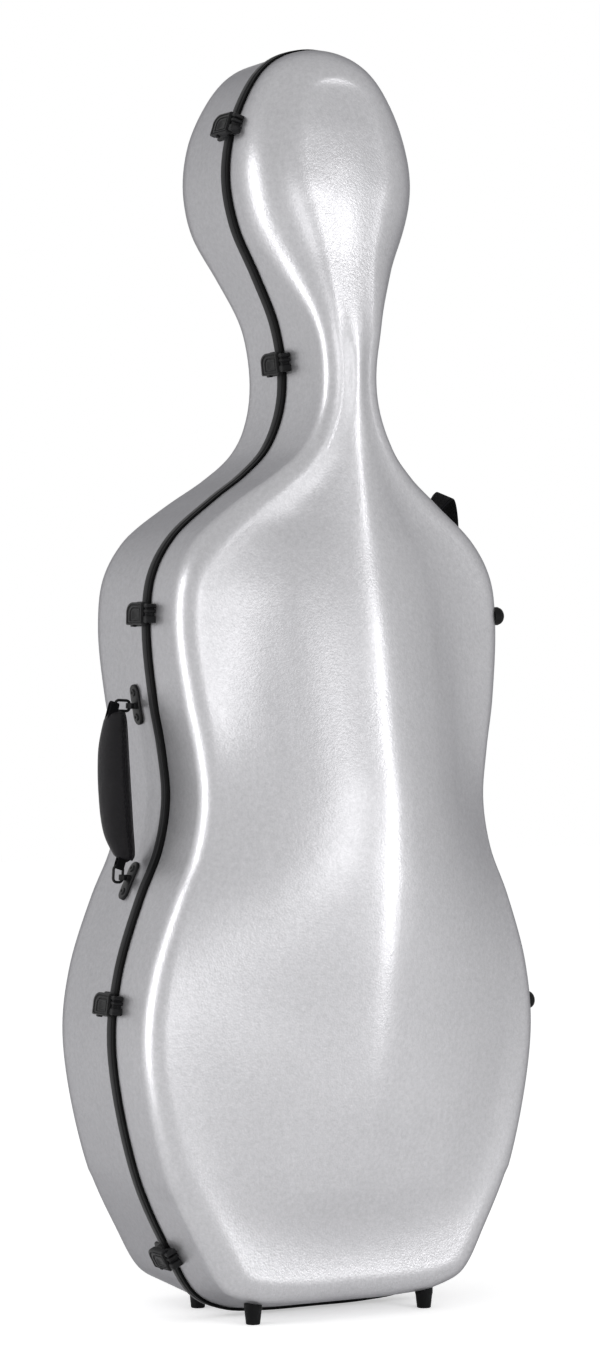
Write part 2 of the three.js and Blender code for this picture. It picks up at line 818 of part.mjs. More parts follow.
// Room round a bracket's plate and screws, kept free by what lies near it
function bracketRoom(frame) {
  const grown = slotShape(bracketLength + gap + gap, bracketWidth + gap + gap);
  const top = bracketThickness + screwHeadRise + gap;
  return plate(grown, -wall, top, roundSides / 2).transform(frame.elements);
}

// A four-sided ring of square wire in the plane of the handle's line, with the line in its inner
// side. Its faces can be grown by a clearance.
function ringSolid(start, along, outward, grow) {
  const half = ringWire / 2;
  const corners = (inset) => [
    new THREE.Vector2(inset - half, start + inset),
    new THREE.Vector2(outward - half - inset, start + inset),
    new THREE.Vector2(outward - half - inset, start + along - inset),
    new THREE.Vector2(inset - half, start + along - inset),
  ];
  const shape = new THREE.Shape(corners(-grow));
  shape.holes.push(new THREE.Path(corners(ringWire + grow)));
  const turned = new THREE.Matrix4().makeBasis(
    new THREE.Vector3(0, 0, 1),
    new THREE.Vector3(1, 0, 0),
    new THREE.Vector3(0, 1, 0),
  );
  return plate(shape, -half - grow, half + grow, 1).transform(turned.elements);
}
const lowerRing = (grow) => ringSolid(lowerRingStart, ringLength, ringWidth, grow);
const upperRing = (grow) => ringSolid(-ringWidth / 2, ringWidth, ringLength, grow);
addPiece("handle_ring_upper", upperRing(0), "bracket", frameAt(eyes[0], handleOut));
addPiece("handle_ring_lower", lowerRing(0), "bracket", frameAt(eyes[1], handleOut));

function addGrip() {
  const lowerRingEnd = lowerRingStart + ringLength;
  const padStart = lowerRingEnd + knotCover / 2;
  const padEnd = handleSpan - knotCover;
  const section = ([share, inner, outer, thick]) => {
    const x = THREE.MathUtils.lerp(padStart, padEnd, share);
    const middle = (gripDepth * (inner + outer)) / 2;
    const reach = (gripDepth * (outer - inner)) / 2;
    const half = (gripThickness * thick) / 2;
    const onRing = (_, i) => {
      const angle = (2 * Math.PI * i) / gripSides;
      return new THREE.Vector3(x, half * Math.sin(angle), middle + reach * Math.cos(angle));
    };
    return { rim: Array.from({ length: gripSides }, onRing), centre: new THREE.Vector3(x, 0, middle) };
  };
  const sections = gripShares.map(section);
  const pole = (end) => end.rim.map(() => end.centre);
  const rims = sections.map((end) => end.rim);
  const poles = [pole(sections[0]), pole(sections[sections.length - 1])];
  const pad = joinRings([poles[0], ...rims, poles[1]], false);
  const half = knotThickness / 2;
  const [x0, x1] = [lowerRingEnd - ringWire - knotCover, lowerRingEnd + knotCover];
  const lowerKnot = block(x0, x1, -half, half, -ringWire - knotCover / 2, ringWidth);
  const wide = ringWidth / 2 + ringWire / 2;
  const [z0, z1] = [ringLength - ringWire * 2 - knotCover, ringLength + ringWire / 2];
  const upperKnot = block(handleSpan - wide, handleSpan + wide, -half, half, z0, z1);
  const toUpperEye = new THREE.Matrix4().setPosition(handleSpan, 0, 0);
  const frame = frameAt(eyes[1], handleOut);
  const rooms = bracketFrames.map(bracketRoom);
  const grip = wasm.Manifold.union([pad, lowerKnot, upperKnot])
    .subtract(lowerRing(gap))
    .subtract(upperRing(gap).transform(toUpperEye.elements))
    .subtract(wasm.Manifold.union(rooms).transform(frame.clone().invert().elements));
  addPiece("handle_grip", seated(grip, frame), "leather", frame);
}
addGrip();

// Grab strap over two anchors on the shoulder: an arch that leans up the shoulder
function addShoulderStrap() {
  const frame = wallFrame(strapShare, 1, strapReach);
  const half = strapWidth / 2;
  const foot = strapSpan / 2;
  const arch = (reach, rise) =>
    Array.from({ length: strapSteps + 1 }, (_, k) => {
      const angle = (Math.PI * k) / strapSteps;
      const across = Math.sign(Math.cos(angle)) * Math.abs(Math.cos(angle)) ** strapSquareness;
      const up = rise * Math.abs(Math.sin(angle)) ** strapSquareness;
      return new THREE.Vector2(reach * across - strapLeanShare * up, anchorRise + gap + up);
    });
  const inner = arch(foot - strapThickness, strapRise - strapThickness).reverse();
  const band = plate(new THREE.Shape([...arch(foot, strapRise), ...inner]), -half, half, 1);
  const upright = new THREE.Matrix4().makeRotationX(Math.PI / 2);
  addPiece("shoulder_strap", band.transform(upright.elements), "webbing", frame);
  const reach = anchorLength / 2;
  const anchor = (x) => block(x - reach, x + reach, -half, half, -bumperRadius, anchorRise);
  const middle = foot - strapThickness / 2;
  addPiece("strap_anchor_upper", seated(anchor(-middle), frame), "bracket", frame);
  addPiece("strap_anchor_lower", seated(anchor(middle), frame), "bracket", frame);
}
addShoulderStrap();

// Support blocks in the back shell
const heightOf = (share) => seamHeight + share * caseHeight;
const deep = backLowerDepth + backCrown;

function addNeckCradle() {
  const z = heightOf(cradleShare);
  const half = cradleHeight / 2;
  const wide = upperBoutWidth / 2;
  const body = block(-wide, wide, cradleFront, deep, z - half, z + half);
  const notch = bar("z", cradleNotch, z - cradleHeight, z + cradleHeight, 0, cradleFront, roundSides);
  addPiece("neck_cradle", body.subtract(notch).intersect(backRoom), "pad");
  const reach = neckStrapLength / 2;
  const rise = neckStrapWidth / 2;
  const front = cradleFront - gap;
  const band = block(-reach, reach, front - neckStrapThickness, front, z - rise, z + rise);
  addPiece("neck_strap", band.intersect(backRoom), "webbing");
}
addNeckCradle();

function addEndPinBlock() {
  const half = endBlockWidth / 2;
  const middle = endBlockHeight / 2;
  const depth = endBlockFront + endPinNotch * 2;
  const body = block(-half, half, endBlockFront, deep, 0, endBlockHeight);
  const round = bar("z", endPinNotch, middle, deep, 0, depth, roundSides);
  const mouth = block(-endPinNotch, endPinNotch, 0, depth, middle, deep);
  addPiece("end_pin_block", body.subtract(round).subtract(mouth).intersect(backRoom), "pad");
}
addEndPinBlock();

function addBackPad(name, share) {
  const half = padWidth / 2;
  const z = heightOf(share);
  const rise = padHeight / 2;
  const front = alongHeight(backDepthStations, share) - liningInset - padThickness;
  const body = block(-half, half, front, deep, z - rise, z + rise);
  addPiece(name, body.intersect(backRoom), "pad");
}
addBackPad("upper_back_pad", padShares[0]);
addBackPad("lower_back_pad", padShares[1]);

// Bow holders in the lid, each a clip with a turning toggle, and a pad over the shoulders
function addBowHolder(side, name) {
  const z = heightOf(bowClipShare);
  const x = side * bowSpread;
  const floor = alongHeight(lidDepthStations, bowClipShare) - liningInset;
  const top = bowClipThickness - floor;
  const across = bowClipWidth / 2;
  const tall = bowClipHeight / 2;
  const studEnd = top + gap + toggleThickness;
  const stud = bar("y", toggleStudRadius, top - toggleThickness, studEnd, x, z, pinSides);
  const clip = block(x - across, x + across, -floor - bridgeRise, top, z - tall, z + tall);
  addPiece(`bow_clip_${name}`, clip.intersect(lidRoom).add(stud), "latch");
  const hub = bar("y", toggleStudRadius + gap, top, studEnd + gap, x, z, pinSides);
  const arm = plate(slotShape(toggleLength, toggleWidth), 0, toggleThickness, roundSides / 2);
  const facing = new THREE.Matrix4().makeRotationX(-Math.PI / 2).setPosition(x, top + gap, z);
  addPiece(`bow_toggle_${name}`, arm.transform(facing.elements).subtract(hub), "latch");
}
addBowHolder(-1, "left");
addBowHolder(1, "right");

function addLidPad() {
  const z = heightOf(lidPadShare);
  const floor = alongHeight(lidDepthStations, lidPadShare) - liningInset;
  const half = lidPadWidth / 2;
  const tall = lidPadHeight / 2;
  const front = lidPadThickness - floor;
  const body = block(-half, half, -floor - bridgeRise, front, z - tall, z + tall);
  addPiece("lid_pad", body.intersect(lidRoom), "pad");
}
addLidPad();

// The origin is the middle of the base of the whole case's box
const box = new THREE.Box3().setFromObject(standing, true);
const middle = box.getCenter(new THREE.Vector3());
standing.position.set(-middle.x, -middle.y, -box.min.z);

export default cello_case;
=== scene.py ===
import json
import math
from types import SimpleNamespace

import bmesh
import bpy
import numpy as np
from bpy.props import FloatProperty, FloatVectorProperty, PointerProperty
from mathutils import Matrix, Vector


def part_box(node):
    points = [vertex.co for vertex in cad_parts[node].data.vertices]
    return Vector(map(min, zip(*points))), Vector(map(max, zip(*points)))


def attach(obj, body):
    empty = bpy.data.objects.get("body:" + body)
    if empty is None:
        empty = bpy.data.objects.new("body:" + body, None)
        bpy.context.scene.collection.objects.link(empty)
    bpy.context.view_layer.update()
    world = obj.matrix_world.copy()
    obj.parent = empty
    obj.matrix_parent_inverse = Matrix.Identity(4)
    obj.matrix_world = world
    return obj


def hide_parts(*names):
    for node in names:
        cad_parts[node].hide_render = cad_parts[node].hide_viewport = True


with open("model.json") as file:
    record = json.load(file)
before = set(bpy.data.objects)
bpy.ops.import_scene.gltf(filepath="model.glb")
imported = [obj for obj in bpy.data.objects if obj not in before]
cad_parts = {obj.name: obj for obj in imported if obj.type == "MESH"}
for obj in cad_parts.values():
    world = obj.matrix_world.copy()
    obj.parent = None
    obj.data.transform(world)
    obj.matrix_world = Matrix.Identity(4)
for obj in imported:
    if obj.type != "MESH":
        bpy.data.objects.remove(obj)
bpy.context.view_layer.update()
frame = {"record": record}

bl_info = {
    "name": "Cello hard case",
    "version": (1, 0, 0),
    "blender": (4, 5, 0),
    "location": "3D View > Sidebar > Cello Case",
    "description": "Dresses the frame of an upright cello hard case, piece by piece",
    "category": "Object",
}

# Clearances and walls that the whole case shares, in metres
GAP = 0.0003
WALL = 0.003
FOAM = 0.012

# Where the frame stands: the plane of symmetry and the plane of the seam
RIM_LOW, RIM_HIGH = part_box("back_rim")
MIDDLE_X = (RIM_LOW.x + RIM_HIGH.x) / 2
SEAM_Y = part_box("lid_rim")[1].y + GAP / 2
SEAM_HEIGHT = 0.0045

# The outline of the seam: shares of the height and of each bout's half width
LOWER_BOUT_SHARES = [
    (0, 0), (0.0004, 0.27), (0.0041, 0.462), (0.0165, 0.6), (0.0535, 0.731),
    (0.1134, 0.887), (0.2111, 1), (0.269, 0.97), (0.3268, 0.864),
]
WAIST_SHARES = [(0.3651, 1.052), (0.4042, 1), (0.4433, 1.029)]
UPPER_BOUT_SHARES = [
    (0.4823, 0.959), (0.541, 1), (0.58, 0.969), (0.6097, 0.852), (0.6401, 0.607), (0.6604, 0.418),
]
NECK_SHARES = [(0.6807, 1.618), (0.71, 1.12), (0.7408, 1), (0.7806, 1.279)]
HEAD_SHARES = [
    (0.819, 0.652), (0.8573, 0.902), (0.8963, 1), (0.9369, 0.915), (0.9782, 0.637), (0.994, 0.37), (1, 0),
]

# The lid along its height: depth at the shoulder, the shoulder's radius, the slope in degrees at
# which the shoulder runs into the face, and the depth of the middle line
LID_DEPTHS = [
    (0, 0.092), (0.21, 0.087), (0.362, 0.091), (0.42, 0.091), (0.56, 0.078), (0.63, 0.078), (0.69, 0.095),
    (0.76, 0.095), (0.83, 0.083), (0.88, 0.0785), (0.94, 0.0695), (1, 0.057),
]
LID_SHOULDERS = [
    (0, 0.027), (0.21, 0.028), (0.6, 0.028), (0.7, 0.019), (0.76, 0.019), (0.86, 0.057), (0.92, 0.057),
    (1, 0.046),
]
LID_SLOPES = [
    (0, 3), (0.06, 5), (0.122, 9), (0.2425, 19), (0.33, 33), (0.4, 35), (0.483, 17), (0.546, 13), (0.609, 8),
    (0.68, 3), (0.76, 2), (0.9, 3), (0.95, 8), (1, 14),
]
LID_CRESTS = [
    (0, 0.092), (0.06, 0.098), (0.122, 0.116), (0.18, 0.135), (0.2425, 0.151), (0.3, 0.164), (0.362, 0.171),
    (0.4, 0.171), (0.42, 0.169), (0.483, 0.154), (0.546, 0.14), (0.609, 0.12), (0.66, 0.107), (0.7, 0.1),
    (0.76, 0.099), (0.83, 0.0865), (0.88, 0.0815), (0.93, 0.0715), (0.965, 0.061), (1, 0.057),
]
# The lid's face across: the shares of the way from the middle line to the shoulder, and for each
# height the shares of the rise that are left there
FACE_REACH_SHARES = [0, 0.05, 0.1, 0.15, 0.2, 0.26, 0.34, 0.42, 0.57, 0.72, 0.87, 1]
FACE_RISE_SHARES = [
    (0.122, (1, 0.986, 0.967, 0.944, 0.92, 0.885, 0.826, 0.757, 0.594, 0.365, 0.132, 0)),
    (0.2425, (1, 0.989, 0.962, 0.927, 0.89, 0.842, 0.773, 0.696, 0.532, 0.351, 0.16, 0)),
    (0.362, (1, 0.995, 0.98, 0.961, 0.935, 0.898, 0.839, 0.769, 0.609, 0.416, 0.2, 0)),
    (0.483, (1, 0.992, 0.973, 0.948, 0.916, 0.872, 0.797, 0.707, 0.499, 0.283, 0.114, 0)),
    (0.546, (1, 0.991, 0.967, 0.935, 0.897, 0.844, 0.757, 0.656, 0.431, 0.24, 0.098, 0)),
    (0.609, (1, 0.99, 0.965, 0.929, 0.885, 0.825, 0.726, 0.615, 0.392, 0.207, 0.078, 0)),
    (0.7, (1, 0.995, 0.98, 0.96, 0.93, 0.89, 0.82, 0.73, 0.52, 0.31, 0.13, 0)),
]

# The back shell along its height
BACK_DEPTHS = [
    (0, 0.15), (0.21, 0.15), (0.4, 0.143), (0.54, 0.146), (0.61, 0.146), (0.7, 0.094), (0.77, 0.094),
    (0.87, 0.134), (0.93, 0.134), (1, 0.122),
]
BACK_SHOULDERS = [(0, 0.036), (0.6, 0.036), (0.7, 0.024), (0.77, 0.024), (0.87, 0.042), (1, 0.042)]
BACK_CROWN = 0.006

# Drafts of the walls as rise over run, and the height up to which the bottom has its own
DRAFT_SHARE = 0.02
LID_BOTTOM_DRAFT_SHARE = 0.2
BACK_BOTTOM_DRAFT_SHARE = 0.09
DRAFT_END_SHARE = 0.1

# Where the middle line of the faces starts and ends, the length over which it eases in, and the
# length over which a face's rise fades out at its top and bottom
SPINE_LOW_SHARE = 0.15
SPINE_HIGH_SHARE = 0.895
SPINE_EASE = 0.02
FACE_END = 0.1

# Places on half the seam's loop, places from one outline point to the next, and the length of
# straight seam that a bend of one radian counts for when the loop's places are spread
HALF_STEPS = 180
POINT_STEPS = 24
BEND_LENGTH = 0.09

# Where things sit on the seam, as shares of the height, and how far off it
LATCH_SHARES = [0.934, 0.7494, 0.5496, 0.2451, 0.0478]
HINGE_SHARES = [0.541, 0.2111]
BUMPER_SHARES = [0.549, 0.238]
BRACKET_SHARES = [0.4782, 0.3396]
STRAP_SHARE = 0.6085
BUMPER_REACH, BRACKET_REACH, STRAP_REACH = 0.062, 0.041, 0.021

# The grab strap's middle line: place down the wall and height over it
STRAP_ROWS = [
    (-0.0295, 0.0028), (-0.0305, 0.014), (-0.0325, 0.028), (-0.0345, 0.0405), (-0.0332, 0.0447),
    (-0.0285, 0.0438), (-0.016, 0.0372), (-0.001, 0.027), (0.015, 0.0148), (0.0295, 0.0028),
]

# The grip along its length: share of the length, inner and outer edge and thickness as shares
GRIP_SHARES = [
    (0, -0.22, 0.06, 0.3), (0.05, -0.33, 0.33, 0.62), (0.2, -0.26, 0.7, 0.94), (0.45, -0.13, 0.91, 1),
    (0.7, 0, 0.98, 1), (0.92, 0.12, 0.84, 0.85), (0.97, 0.18, 0.7, 0.7), (1, 0.24, 0.52, 0.42),
]


def length_property(name, description, default):
    """A length in metres, shown in the scene's own unit."""
    return FloatProperty(
        name=name, description=description, default=default, min=0, unit="LENGTH", precision=4
    )


def colour_property(name, description, default):
    """A colour of three linear values."""
    return FloatVectorProperty(
        name=name, description=description, default=default, size=3, min=0, max=1, subtype="COLOR"
    )


class CaseSizes(bpy.types.PropertyGroup):
    """The sizes of the case and of its fittings."""

    height: length_property("Height", "Height of the seam's outline", 1.331)
    lower_bout: length_property("Lower bout", "Widest place of the lower bout", 0.472)
    waist: length_property("Waist", "Narrowest place between the bouts", 0.346)
    upper_bout: length_property("Upper bout", "Widest place of the upper bout", 0.392)
    neck: length_property("Neck", "Narrowest place of the neck", 0.068)
    head: length_property("Head", "Widest place of the head", 0.204)
    back_rim: length_property("Back rim", "Width of the back shell's rim", 0.010)
    lid_rim: length_property("Lid rim", "Width of the lid's rim", 0.0065)
    rim_proud: length_property("Rim stand", "How far the rims stand off the walls", 0.0025)
    rim_inner: length_property("Rim depth", "How far the rims reach inwards", 0.007)
    latch_width: length_property("Latch width", "Width of a latch along the seam", 0.0235)
    latch_sole: length_property("Latch sole", "Height of a latch's sole over the wall", 0.0053)
    lever: length_property("Lever", "Thickness of a latch lever", 0.0064)
    hinge_off: length_property("Hinge stand", "Distance of the hinge line from the wall", 0.0115)
    hinge_length: length_property("Hinge length", "Length of a hinge along the seam", 0.05)
    knuckle: length_property("Knuckle", "Radius of a hinge knuckle", 0.0042)
    bumper: length_property("Bumper", "Radius of a bumper", 0.009)
    bracket_length: length_property("Bracket", "Length of a handle bracket", 0.043)
    bracket_width: length_property("Bracket width", "Width of a handle bracket", 0.017)
    eye_off: length_property("Eye stand", "Distance of the handle's line from the wall", 0.0094)
    ring_wire: length_property("Ring wire", "Thickness of a carrying ring's wire", 0.003)
    grip_depth: length_property("Grip depth", "Depth of the padded grip", 0.0345)
    grip_thickness: length_property("Grip thickness", "Thickness of the padded grip", 0.018)
    strap_width: length_property("Strap width", "Width of the grab strap", 0.03)


class CaseColours(bpy.types.PropertyGroup):
    """The colours of the finishes."""

    shell: colour_property("Shell", "Satin silver paint", (0.44, 0.4375, 0.452))
    back_rim: colour_property("Back rim", "Charcoal rim of the back shell", (0.009, 0.009, 0.0098))
    # Nearly black: partly the lid rim's own colour and partly painted shadow of the seam beside it
    lid_rim: colour_property("Lid rim", "Black rim of the lid", (0.002, 0.002, 0.0022))
    latch: colour_property("Latch", "Moulded charcoal plastic", (0.0075, 0.0075, 0.008))
    rubber: colour_property("Rubber", "Feet, bumpers and seal", (0.003, 0.003, 0.0033))
    metal: colour_property("Bracket", "Black painted metal", (0.0045, 0.0045, 0.005))
    leather: colour_property("Leather", "Grip leather", (0.006, 0.0052, 0.0066))
    webbing: colour_property("Webbing", "Straps and loops", (0.0025, 0.0025, 0.003))
    lining: colour_property("Lining", "Plush lining", (0.05, 0.05, 0.06))
    steel: colour_property("Steel", "Pins and screws", (0.5, 0.5, 0.51))


def sizes():
    """The sizes that the user has set."""
    return bpy.context.scene.cello_case_sizes


def colours():
    """The colours that the user has set."""
    return bpy.context.scene.cello_case_colours


# Curves and tables


def cubic(start, end, slope, end_slope, t):
    """The cubic from start to end with a slope at each, for t from 0 to 1: the straight way, and
    t (1 - t) times what the slopes differ from it by."""
    rise = end - start
    return start + rise * t + t * (1 - t) * ((slope - rise) * (1 - t) + (rise - end_slope) * t)


def along(table, at):
    """Smooth cubic through the rows (place, value) of a table, level beyond its ends and at its
    turning points, for an array of places. A value may itself be a row of numbers."""
    at = np.asarray(at, float)
    h = np.array([row[0] for row in table], float)
    v = np.array([row[1] for row in table], float)
    v = v.reshape(len(h), -1)
    slope = np.diff(v, axis=0) / np.diff(h)[:, None]
    m = np.zeros_like(v)
    middle = (v[2:] - v[:-2]) / (h[2:] - h[:-2])[:, None]
    m[1:-1] = np.where(slope[1:] * slope[:-1] <= 0, 0, middle)
    k = np.clip(np.searchsorted(h, at, side="right") - 1, 0, len(h) - 2)
    run = (h[k + 1] - h[k])[..., None]
    t = np.clip((at - h[k])[..., None] / run, 0, 1)
    value = cubic(v[k], v[k + 1], m[k] * run, m[k + 1] * run, t)
    return value[..., 0] if v.shape[1] == 1 else value


def unit(v):
    """Vectors made one long."""
    return v / np.maximum(np.linalg.norm(v, axis=-1, keepdims=True), 1e-12)


def centripetal(points, steps):
    """Centripetal Catmull-Rom curve from the second to the last but one point: each stretch is the
    cubic whose end slopes come from its neighbours, spaced by the square root of their distance.
    Gives places and tangents."""
    p0, p1, p2, p3 = points[:-3], points[1:-2], points[2:-1], points[3:]
    d0, d1, d2 = (np.sqrt(np.linalg.norm(b - a, axis=1))[:, None] for a, b in ((p0, p1), (p1, p2), (p2, p3)))
    m1 = ((p1 - p0) / d0 - (p2 - p0) / (d0 + d1) + (p2 - p1) / d1) * d1
    m2 = ((p2 - p1) / d1 - (p3 - p1) / (d1 + d2) + (p3 - p2) / d2) * d1
    c2 = -3 * p1 + 3 * p2 - 2 * m1 - m2
    c3 = 2 * p1 - 2 * p2 + m1 + m2
    t = (np.arange(steps) / steps)[None, :, None]
    place = p1[:, None] + m1[:, None] * t + c2[:, None] * t**2 + c3[:, None] * t**3
    tangent = m1[:, None] + 2 * c2[:, None] * t + 3 * c3[:, None] * t**2
    last = (m1 + 2 * c2 + 3 * c3)[-1]
    width = points.shape[1]
    return (
        np.vstack([place.reshape(-1, width), p2[-1]]),
        unit(np.vstack([tangent.reshape(-1, width), last])),
    )


def seam_half():
    """The right half of the seam from bottom to top, in metres from the plane of symmetry: columns
    x, z, the inward normal's x and z, and the share of the height."""
    s = sizes()
    bouts = (
        (LOWER_BOUT_SHARES, s.lower_bout), (WAIST_SHARES, s.waist), (UPPER_BOUT_SHARES, s.upper_bout),
        (NECK_SHARES, s.neck), (HEAD_SHARES, s.head),
    )
    rows = [(w * width / 2, SEAM_HEIGHT + h * s.height) for shares, width in bouts for h, w in shares]
    rows = np.array(rows)
    mirror = np.array([-1, 1])
    place, tangent = centripetal(np.vstack([rows[1] * mirror, rows, rows[-2] * mirror]), POINT_STEPS)
    normal = np.column_stack([-tangent[:, 1], tangent[:, 0]])
    normal[0], normal[-1] = (0, 1), (0, -1)
    return np.column_stack([place, normal, (place[:, 1] - SEAM_HEIGHT) / s.height])


def seam_loop():
    """The whole seam as a closed loop, with places closer together where it bends more."""
    half = seam_half()
    step = np.linalg.norm(np.diff(half[:, :2], axis=0), axis=1)
    turn = np.linalg.norm(np.diff(half[:, 2:4], axis=0), axis=1)
    run = np.concatenate([[0], np.cumsum(step + turn * BEND_LENGTH)])
    at = np.linspace(0, run[-1], HALF_STEPS + 1)
    right = np.column_stack([np.interp(at, run, column) for column in half.T])
    right[:, 2:4] = unit(right[:, 2:4])
    left = right[-2:0:-1] * np.array([-1, 1, -1, 1, 1])
    return np.vstack([right, left])


def wall_frame(share, side, y):
    """Frame on the outer wall at a share of the height: columns along the seam, across it towards
    the back, outwards, and the place itself, in the scene's metres."""
    half = seam_half()
    row = half[np.searchsorted(half[:, 4], share)]
    inward = DRAFT_SHARE * abs(y)
    place = (side * (row[0] + row[2] * inward), y, row[1] + row[3] * inward)
    out = np.array([-side * row[2], 0, -row[3]])
    return frame_at(to_scene(np.array(place)), out)


def frame_at(origin, out):
    """Frame at a place, with its third axis outwards and its second as near to +Y as it can."""
    across = np.array([0.0, 1.0, 0.0])
    out = unit(out)
    return np.column_stack([unit(np.cross(across, out)), across, out, origin])


def to_scene(points):
    """From metres off the plane of symmetry and the seam to the scene's frame."""
    return np.asarray(points, float) + np.array([MIDDLE_X, SEAM_Y, 0])


def placed(points, place):
    """Points in a frame's own axes, put into the scene."""
    return points @ place[:, :3].T + place[:, 3]


# Meshes

# A shape's rows are closed rings that go round again, end in caps, or stay open
RING, CAPPED, OPEN = "ring", "capped", "open"

# The radius that a place on a turned piece's axis keeps, and the share of its outline that a
# plate's innermost row keeps, so that both can be capped
POLE = 0.0002
CENTRE_SHARE = 0.02

# Angles in degrees past which an edge stays sharp: hard parts, levers and rubber, webbing and
# rims, shells and leather, and plush
HARD, MOULDED, WOVEN, SKIN, SOFT = 35, 38, 50, 60, 75

# Places of a skin's middle line that are nearer than the first are joined, and edges shorter than
# the second are taken out
MERGE_DISTANCE = 0.00002
SHORTEST_EDGE = 0.000005


def grid_faces(rows, columns, close_rows, close_columns=True):
    """Four-sided faces between neighbouring places of a grid."""
    r = np.arange(rows if close_rows else rows - 1)
    c = np.arange(columns if close_columns else columns - 1)
    r, c = np.meshgrid(r, c, indexing="ij")
    r2, c2 = (r + 1) % rows, (c + 1) % columns
    corners = ((r, c), (r, c2), (r2, c2), (r2, c))
    return np.column_stack([(row * columns + column).ravel() for row, column in corners])


def cap_faces(rows, columns):
    """Fans from both end rows of a grid to two places that follow its own."""
    ring = np.arange(columns)
    following = (ring + 1) % columns
    last, middle = (rows - 1) * columns, np.full(columns, rows * columns)
    low = np.column_stack([following, ring, middle])
    high = np.column_stack([last + ring, last + following, middle + 1])
    return np.vstack([low, high])


def signed_volume(points, quads, tris):
    """Six times the volume inside the faces: the sum of a . (b x c) over their triangles."""
    corners = points[np.vstack([quads[:, :3], quads[:, [0, 2, 3]], tris])]
    return np.einsum("ij,ij->", corners[:, 0], np.cross(corners[:, 1], corners[:, 2]))


def linked(name, data):
    """A new object in the scene."""
    made = bpy.data.objects.new(name, data)
    bpy.context.scene.collection.objects.link(made)
    return made


def make_mesh(name, shapes, finish, sharp, uv=None):
    """One object from several shapes, each a grid of points and its ending, with one UV map for
    all. Faces are turned to point outwards, and edges sharper than an angle in degrees stay so."""
    points, faces, count = [], [], 0
    for grid, ending in shapes:
        rows, columns = grid.shape[:2]
        quads = grid_faces(rows, columns, ending == RING)
        tris = np.empty((0, 3), int)
        flat = grid.reshape(-1, 3)
        if ending == CAPPED:
            flat = np.vstack([flat, grid[0].mean(0), grid[-1].mean(0)])
            tris = cap_faces(rows, columns)
        if signed_volume(flat, quads, tris) < 0:
            quads, tris = quads[:, ::-1], tris[:, ::-1]
        faces += (quads + count).tolist() + (tris + count).tolist()
        points.append(flat)
        count += len(flat)
    mesh = bpy.data.meshes.new(name)
    mesh.from_pydata(np.vstack(points), [], faces)
    mesh.polygons.foreach_set("use_smooth", np.ones(len(faces), bool))
    if uv is not None:
        layer = mesh.uv_layers.new(name="UVMap")
        corner = np.empty(len(mesh.loops), np.int32)
        mesh.loops.foreach_get("vertex_index", corner)
        layer.data.foreach_set("uv", uv[corner].astype(np.float32).ravel())
    mesh.set_sharp_from_angle(angle=math.radians(sharp))
    mesh.materials.append(MATERIALS[finish])
    mesh.update()
    return linked(name, mesh)


def finish_piece(piece, body, node=None):
    """The piece rides on its body and stands for its node, whose part it hides."""
    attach(piece, body)
    if node:
        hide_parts(node)
    return piece


def capped(grids, place):
    """Grids in a frame's own axes as capped shapes in the scene."""
    return [(placed(grid, place), CAPPED) for grid in grids]


def body_of(node):
    """The body that the record gives a node."""
    bodies = frame["record"]["behaviour"]["bodies"]
    return next(body for body, nodes in bodies.items() if node in nodes)


# Shapes that many pieces share


def plate_grid(outline, section, middle=None):
    """A plate carried round its outline: each row of the section is (inset, height, share), where
    the outline is moved inwards by inset and drawn to its middle by the share that is left."""
    tangent = unit(np.roll(outline, -1, 0) - np.roll(outline, 1, 0))
    normal = np.column_stack([-tangent[:, 1], tangent[:, 0]])
    middle = outline.mean(0) if middle is None else np.array(middle)
    inset, height, share = (np.array(column)[:, None, None] for column in zip(*section))
    flat = middle + (outline + normal * inset - middle) * share
    return np.concatenate([flat, np.broadcast_to(height, flat.shape[:2] + (1,))], axis=2)


def plate_section(low, high, bevel, crown=0.0, ridges=0, ridge=0.0, steps=24):
    """Section of a plate with a rounded upper edge, a crowned top and ridges that follow the
    outline: height = top + crown x (1 - share squared) + ridge x (cosine - 1) / 2."""
    angle = np.linspace(0, math.pi / 2, 5)
    rows = [(0, low, CENTRE_SHARE), (0, low, 1)]
    rows += [(bevel * (1 - math.cos(a)), high - bevel * (1 - math.sin(a)), 1) for a in angle]
    for share in np.linspace(1, CENTRE_SHARE, steps)[1:]:
        wave = ridge * (math.cos(2 * math.pi * ridges * share) - 1) / 2
        rows.append((bevel, high + crown * (1 - share**2) + wave, share))
    return rows


def squared_circle(angle, power):
    """Cosine and sine, whose sizes are raised to a power under 1 that squares the circle off."""
    return [np.sign(f(angle)) * np.abs(f(angle)) ** power for f in (np.cos, np.sin)]


def slot_outline(length, width, steps=16):
    """A long shape with round ends, along the first axis."""
    angle = np.linspace(-math.pi / 2, math.pi / 2, steps)
    end = np.column_stack([(length - width) / 2 + width / 2 * np.cos(angle), width / 2 * np.sin(angle)])
    return np.vstack([end, -end])


def arc_outline(corners):
    """An outline of four elliptic quarter arcs that runs counter-clockwise from its upper right
    corner: each is (x, y, reach along x, reach along y, steps), where x and y are the corner that
    the arc cuts off."""
    rows = []
    for quarter, (x, y, reach_x, reach_y, steps) in enumerate(corners):
        angle = (quarter + np.linspace(0, 1, steps)) * math.pi / 2
        inwards = np.array([(-1, -1), (1, -1), (1, 1), (-1, 1)][quarter])
        reach = np.array([reach_x, reach_y])
        rows.append((x, y) + inwards * reach + reach * np.column_stack([np.cos(angle), np.sin(angle)]))
    return np.vstack(rows)


def box_outline(x0, x1, y0, y1, radius, steps=6):
    """A rectangle with quarter circles for corners."""
    return arc_outline([(x, y, radius, radius, steps) for x, y in ((x1, y1), (x0, y1), (x0, y0), (x1, y0))])


